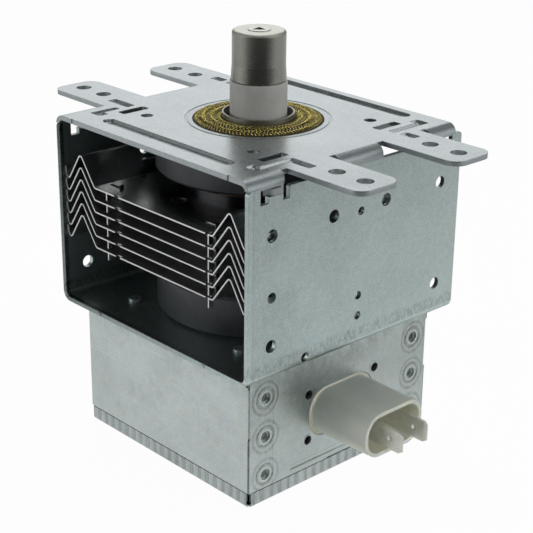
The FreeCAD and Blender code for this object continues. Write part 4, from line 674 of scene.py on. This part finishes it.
def socket_plastic():
    """Socket: greyish white plastic, with painted light that makes it paler below, toward its tip, on
    its foot and at its tip's rim, and cream inside the hollow.
    """
    s = Surface("socket_plastic")
    x = s.axis("X")
    z = s.less(s.axis("Z"), SOCKET_Z)
    over = s.larger(s.less(s.size(s.axis("Y")), SOCKET_HALF_WIDTH - SOCKET_HALF_HEIGHT), 0.0)
    hollow = s.remap(s.distance(over, z), SOCKET_BORE + 0.05, SOCKET_BORE + 0.25, 1.0, 0.0)
    # Mask of the painted light inside the hollow
    inside = s.times(hollow, s.remap(x, *SOCKET_INSIDE_PAINTED_LIGHT, 0.35, 1.0))
    fine = s.noise(s.scaled(), 2.0, 5.0)
    clouds = s.noise(s.scaled(), 0.18, 3.0)
    flow = s.noise(s.scaled(0.08, 0.6, 0.6), 1.0, 3.0)
    # Masks of the painted light below the middle and toward the tip
    lower = s.remap(z, *SOCKET_LOWER_PAINTED_LIGHT, smooth=True)
    outward = s.remap(x, SOCKET_FOOT + 3.0, SOCKET_TIP, 0.0, 0.5)
    base = s.cloudy(clouds, rgb(0.515, 0.545, 0.50), rgb(0.585, 0.605, 0.555))
    base = s.blend(s.remap(flow, 0.55, 0.75, 0.0, 0.3), base, rgb(0.52, 0.52, 0.47))
    # Painted light: paler below and toward the tip, then on the foot, cream inside the hollow, and a
    # painted highlight at the tip's rim
    base = s.blend(s.larger(lower, outward), base, rgb(0.88, 0.91, 0.82))
    base = s.blend(s.remap(x, SOCKET_FOOT + 0.3, SOCKET_FOOT - 0.1), base, rgb(0.78, 0.78, 0.67))
    base = s.blend(inside, base, rgb(0.96, 0.93, 0.74))
    base = s.blend(s.remap(x, SOCKET_TIP - 0.4, SOCKET_TIP - 0.1), base, rgb(0.72, 0.75, 0.66))
    s.set(Base_Color=base, Roughness=s.vary(fine, 0.32, 0.44), IOR=1.5)
    s.set(Subsurface_Weight=1.0, Subsurface_Radius=(6.0 * MM, 6.0 * MM, 4.5 * MM))
    s.set(Normal=s.bump(fine, 0.01, s.edge(0.25)))
    return s.material


def potting_resin():
    """Cream potting resin."""
    s = Surface("potting_resin")
    clouds = s.noise(s.scaled(), 0.3, 4.0)
    s.set(Base_Color=s.cloudy(clouds, rgb(0.50, 0.46, 0.33), rgb(0.60, 0.56, 0.42)))
    s.set(Roughness=s.vary(clouds, 0.4, 0.55))
    return s.material


def refractory():
    """Dull grey wire and hats of the cathode."""
    s = Surface("refractory")
    fine = s.noise(s.scaled(), 2.0, 4.0)
    s.set(Base_Color=s.blend(fine, rgb(0.22, 0.22, 0.23), rgb(0.34, 0.34, 0.35)))
    s.set(Metallic=1.0, Roughness=s.vary(fine, 0.4, 0.6))
    return s.material


def dress(material, *names):
    """Gives CAD nodes one material."""
    for name in names:
        slots = NODES[name].data.materials
        slots.clear()
        slots.append(material)


def numbered(stem, first, last):
    """Names of nodes that are numbered from first to last."""
    return ["%s_%d" % (stem, k) for k in range(first, last + 1)]


def dress_all():
    """Materials of every CAD node."""
    dress(plate_zinc(), "upper_yoke")
    dress(yoke_zinc(), "lower_yoke")
    dress(case_zinc(), "filter_case")
    dress(side_plate_zinc(), "filter_side_plate")
    dress(lid_zinc(), "filter_lid")
    dress(earth_plate_zinc(), "earth_plate")
    dress(ferrite("ferrite_magnet"), "upper_magnet", "lower_magnet")
    dress(ferrite("ferrite_choke"), "front_choke_core", "rear_choke_core")
    # The top fin gets painted shade near the magnets and on its tongues; the lower fins get painted
    # light near the magnets and painted shade on their tongues
    dress(aluminium("top_fin_aluminium", 0.09, (0.10, 0.105, 0.11), 0.18), "cooling_fin_1")
    dress(aluminium("fin_aluminium", 0.20, (0.78, 0.79, 0.78), 0.38), *numbered("cooling_fin", 2, 6))
    # Painted shade: the bare copper is coloured near black because it sits in shade inside the magnetron
    bare = copper("bare_copper", (0.16, 0.12, 0.10), (0.12, 0.09, 0.075), 0.42)
    dress(bare, "anode_cylinder", "exhaust_tube", "antenna_lead", *numbered("anode_vane", 1, 10))
    dress(bare, "upper_inner_strap", "upper_outer_strap", "lower_inner_strap", "lower_outer_strap")
    enamelled = copper("enamelled_copper", (0.48, 0.17, 0.07), (0.36, 0.11, 0.05), 0.22)
    dress(enamelled, "front_choke_coil", "rear_choke_coil")
    # Painted shade: the plating of the output sleeve, its seat and seal ring is darkened because it sits
    # in shadow under the knit
    sleeve = turned_metal("plated_sleeve", (0.34, 0.34, 0.31), 0.42)
    dress(sleeve, "output_sleeve", "ceramic_seat", "output_seal_ring")
    # Painted shade: the plating of the input sleeve and the pole pieces is darkened because it sits in
    # shade under the magnets
    input_plating = turned_metal("plated_input", (0.20, 0.21, 0.21), 0.42)
    dress(input_plating, "input_sleeve", "upper_pole_piece", "lower_pole_piece")
    nickel = turned_metal("satin_nickel", (0.29, 0.29, 0.26), 0.26, 0.003, 0.3, CAP_TOP_START)
    dress(nickel, "antenna_cap")
    dress(alumina(), "output_ceramic", "stem_ceramic")
    dress(gasket_base(), "mesh_gasket")
    dress(refractory(), "filament", "upper_end_hat", "lower_end_hat", "center_lead", "side_lead")
    dress(tinned_brass(), "center_lug", "side_lug", "front_terminal_tab", "rear_terminal_tab")
    dress(socket_plastic(), "connector_shell")
    dress(potting_resin(), "capacitor_body")


def crown(radius):
    """Height of the gasket's top at a radius."""
    across = (radius - GASKET_MIDDLE) / GASKET_HALF
    edge = GASKET_INNER_TOP if across < 0 else GASKET_EDGE_TOP
    return GASKET_CROWN - (GASKET_CROWN - edge) * across * across


def wire(vertices, faces, points, radius):
    """Adds a closed wire through points to a mesh's lists."""
    count = len(points)
    first = len(vertices)
    for k in range(count):
        ahead = (points[(k + 1) % count] - points[k - 1]).normalized()
        across = ahead.cross(Vector((0, 0, 1)))
        across = across.normalized() if across.length > 1e-6 else Vector((1, 0, 0))
        rise = across.cross(ahead)
        for j in range(KNIT_WIRE_SIDES):
            turn = 2 * math.pi * j / KNIT_WIRE_SIDES
            outward = across * (radius * math.cos(turn)) + rise * (radius * math.sin(turn))
            vertices.append(points[k] + outward)
    for k in range(count):
        here = first + k * KNIT_WIRE_SIDES
        there = first + ((k + 1) % count) * KNIT_WIRE_SIDES
        for j in range(KNIT_WIRE_SIDES):
            following = (j + 1) % KNIT_WIRE_SIDES
            faces.append((here + j, here + following, there + following, there + j))


def knit_row(radius, lean, chance):
    """One round of loops of the knitted ring, as points in metres."""
    loops = int(2 * math.pi * radius / KNIT_LOOP)
    phase = chance.uniform(*KNIT_PHASE)
    shift = [chance.uniform(*KNIT_WANDER) for _ in range(loops)]
    tall = [chance.uniform(*KNIT_TALLNESS) for _ in range(loops)]
    sink = [chance.uniform(*KNIT_SINK) for _ in range(loops)]
    points = []
    for k in range(loops * KNIT_STEPS):
        loop = k // KNIT_STEPS
        following = (loop + 1) % loops
        done = (k % KNIT_STEPS) / KNIT_STEPS
        wander, tallness, low = [
            each[loop] * (1 - done) + each[following] * done for each in (shift, tall, sink)
        ]
        part = 2 * math.pi * done
        aside = lean * math.sin(part) - KNIT_NECK * math.sin(2 * part)
        angle = phase + 2 * math.pi * k / (loops * KNIT_STEPS) + aside * KNIT_LOOP / radius
        here = radius + KNIT_PITCH * KNIT_REACH * tallness * math.sin(part) + wander
        here = min(max(here, GASKET_INNER + KNIT_WIRE), GASKET_OUTER - KNIT_WIRE)
        height = crown(here) + KNIT_LIFT + KNIT_CROSSING * math.cos(2 * part) + low
        points.append(Vector((here * math.cos(angle), here * math.sin(angle), height)) * MM)
    return points


def mesh_object(name, vertices, faces, material, smooth=True):
    """A mesh object in the scene with one material."""
    mesh = bpy.data.meshes.new(name)
    mesh.from_pydata([tuple(v) for v in vertices], [], faces)
    mesh.validate()
    mesh.update()
    if smooth:
        mesh.polygons.foreach_set("use_smooth", [True] * len(mesh.polygons))
    mesh.materials.append(material)
    made = bpy.data.objects.new(name, mesh)
    bpy.context.scene.collection.objects.link(made)
    return made


def knitted_gasket():
    """Knitted brass wires on the gasket's crown."""
    chance = random.Random(KNIT_SEED)
    vertices = []
    faces = []
    for row in range(KNIT_ROWS):
        radius = GASKET_INNER + (GASKET_OUTER - GASKET_INNER) * (row + 0.5) / KNIT_ROWS
        lean = KNIT_LEAN if row % 2 else -KNIT_LEAN
        wire(vertices, faces, knit_row(radius, lean, chance), KNIT_WIRE * MM)
    knit = mesh_object("gasket_knit", vertices, faces, knit_brass())
    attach(knit, "root")


def camera():
    """Camera at the photograph's place, with its lens and slight roll."""
    azimuth = math.radians(CAMERA_AZIMUTH)
    elevation = math.radians(CAMERA_ELEVATION)
    roll = math.radians(CAMERA_ROLL)
    level = Vector((math.cos(azimuth), math.sin(azimuth), 0))
    away = Vector((math.sin(azimuth), -math.cos(azimuth), 0))
    back = away * math.cos(elevation) + Vector((0, 0, math.sin(elevation)))
    rise = back.cross(level)
    right = level * math.cos(roll) + rise * math.sin(roll)
    up = rise * math.cos(roll) - level * math.sin(roll)
    place = (back * CAMERA_DISTANCE + right * CAMERA_SIDE + up * CAMERA_RISE) * MM
    lens = bpy.data.cameras.new("camera")
    lens.sensor_width = SENSOR_WIDTH
    lens.lens = CAMERA_FOCAL_PIXELS / PICTURE_PIXELS * SENSOR_WIDTH
    lens.clip_start = 0.01
    made = bpy.data.objects.new("camera", lens)
    made.matrix_world = Matrix.Translation(place) @ Matrix((right, up, back)).transposed().to_4x4()
    bpy.context.scene.collection.objects.link(made)
    bpy.context.scene.camera = made


def lamp(name, place, aim, size, radiance, spread):
    """Soft rectangular lamp whose face has a given brightness."""
    light = bpy.data.lights.new(name, "AREA")
    light.shape = "RECTANGLE"
    light.size, light.size_y = size
    light.energy = radiance * math.pi * size[0] * size[1]
    light.spread = math.radians(spread)
    made = bpy.data.objects.new(name, light)
    turn = (Vector(aim) - Vector(place)).to_track_quat("-Z", "Y")
    made.matrix_world = Matrix.Translation(place) @ turn.to_matrix().to_4x4()
    made.visible_camera = False
    bpy.context.scene.collection.objects.link(made)


def world():
    """Dim surroundings, lighter above and behind the part."""
    made = bpy.data.worlds.new("studio")
    sky = Nodes(made)
    place = sky.node("ShaderNodeTexCoord").outputs["Generated"]
    level = sky.remap(sky.along(place, SKY_TOWARD), *SKY_RANGE, *SKY_LEVEL)
    background = sky.node("ShaderNodeBackground", {"Color": rgb(0.97, 0.99, 1.0), "Strength": level})
    sky.node("ShaderNodeOutputWorld", {"Surface": background.outputs["Background"]})
    bpy.context.scene.world = made


def floor():
    """Pale floor that the lid stands on, white to the camera and darker in front to mirrored rays."""
    s = Surface("floor")
    grain = s.noise(s.scaled(), 0.02, 2.0)
    s.set(Base_Color=s.blend(grain, rgb(0.90, 0.90, 0.90), rgb(0.93, 0.93, 0.93)), Roughness=0.9)
    s.set(Specular_IOR_Level=0.1)
    path = s.node("ShaderNodeLightPath").outputs
    mirrored = s.larger(path["Is Glossy Ray"], path["Is Transmission Ray"])
    seen = s.larger(s.times(path["Is Camera Ray"], FLOOR_WHITE), mirrored)
    behind = s.remap(s.along(s.place, FLOOR_BEHIND), *FLOOR_BEHIND_RANGE, *FLOOR_MIRRORED, smooth=True)
    strength = s.larger(path["Is Camera Ray"], behind)
    white = s.node("ShaderNodeEmission", {"Color": rgb(1, 1, 1), "Strength": strength})
    mix = s.node("ShaderNodeMixShader", {
        0: seen, 1: s.shader.outputs["BSDF"], 2: white.outputs["Emission"],
    })
    s.put(s.output.inputs["Surface"], mix.outputs["Shader"])
    half = FLOOR_SIZE / 2 * MM
    level = (LID_BOTTOM - FLOOR_GAP) * MM
    corners = [(-half, -half, level), (half, -half, level), (half, half, level), (-half, half, level)]
    ground = mesh_object("floor", corners, [(0, 1, 2, 3)], s.material, smooth=False)


def main():
    """Dresses the part and sets up the picture."""
    dress_all()
    knitted_gasket()
    camera()
    for each in LAMPS:
        lamp(*each)
    world()
    floor()
    bpy.context.scene.view_settings.view_transform = "Standard"


main()
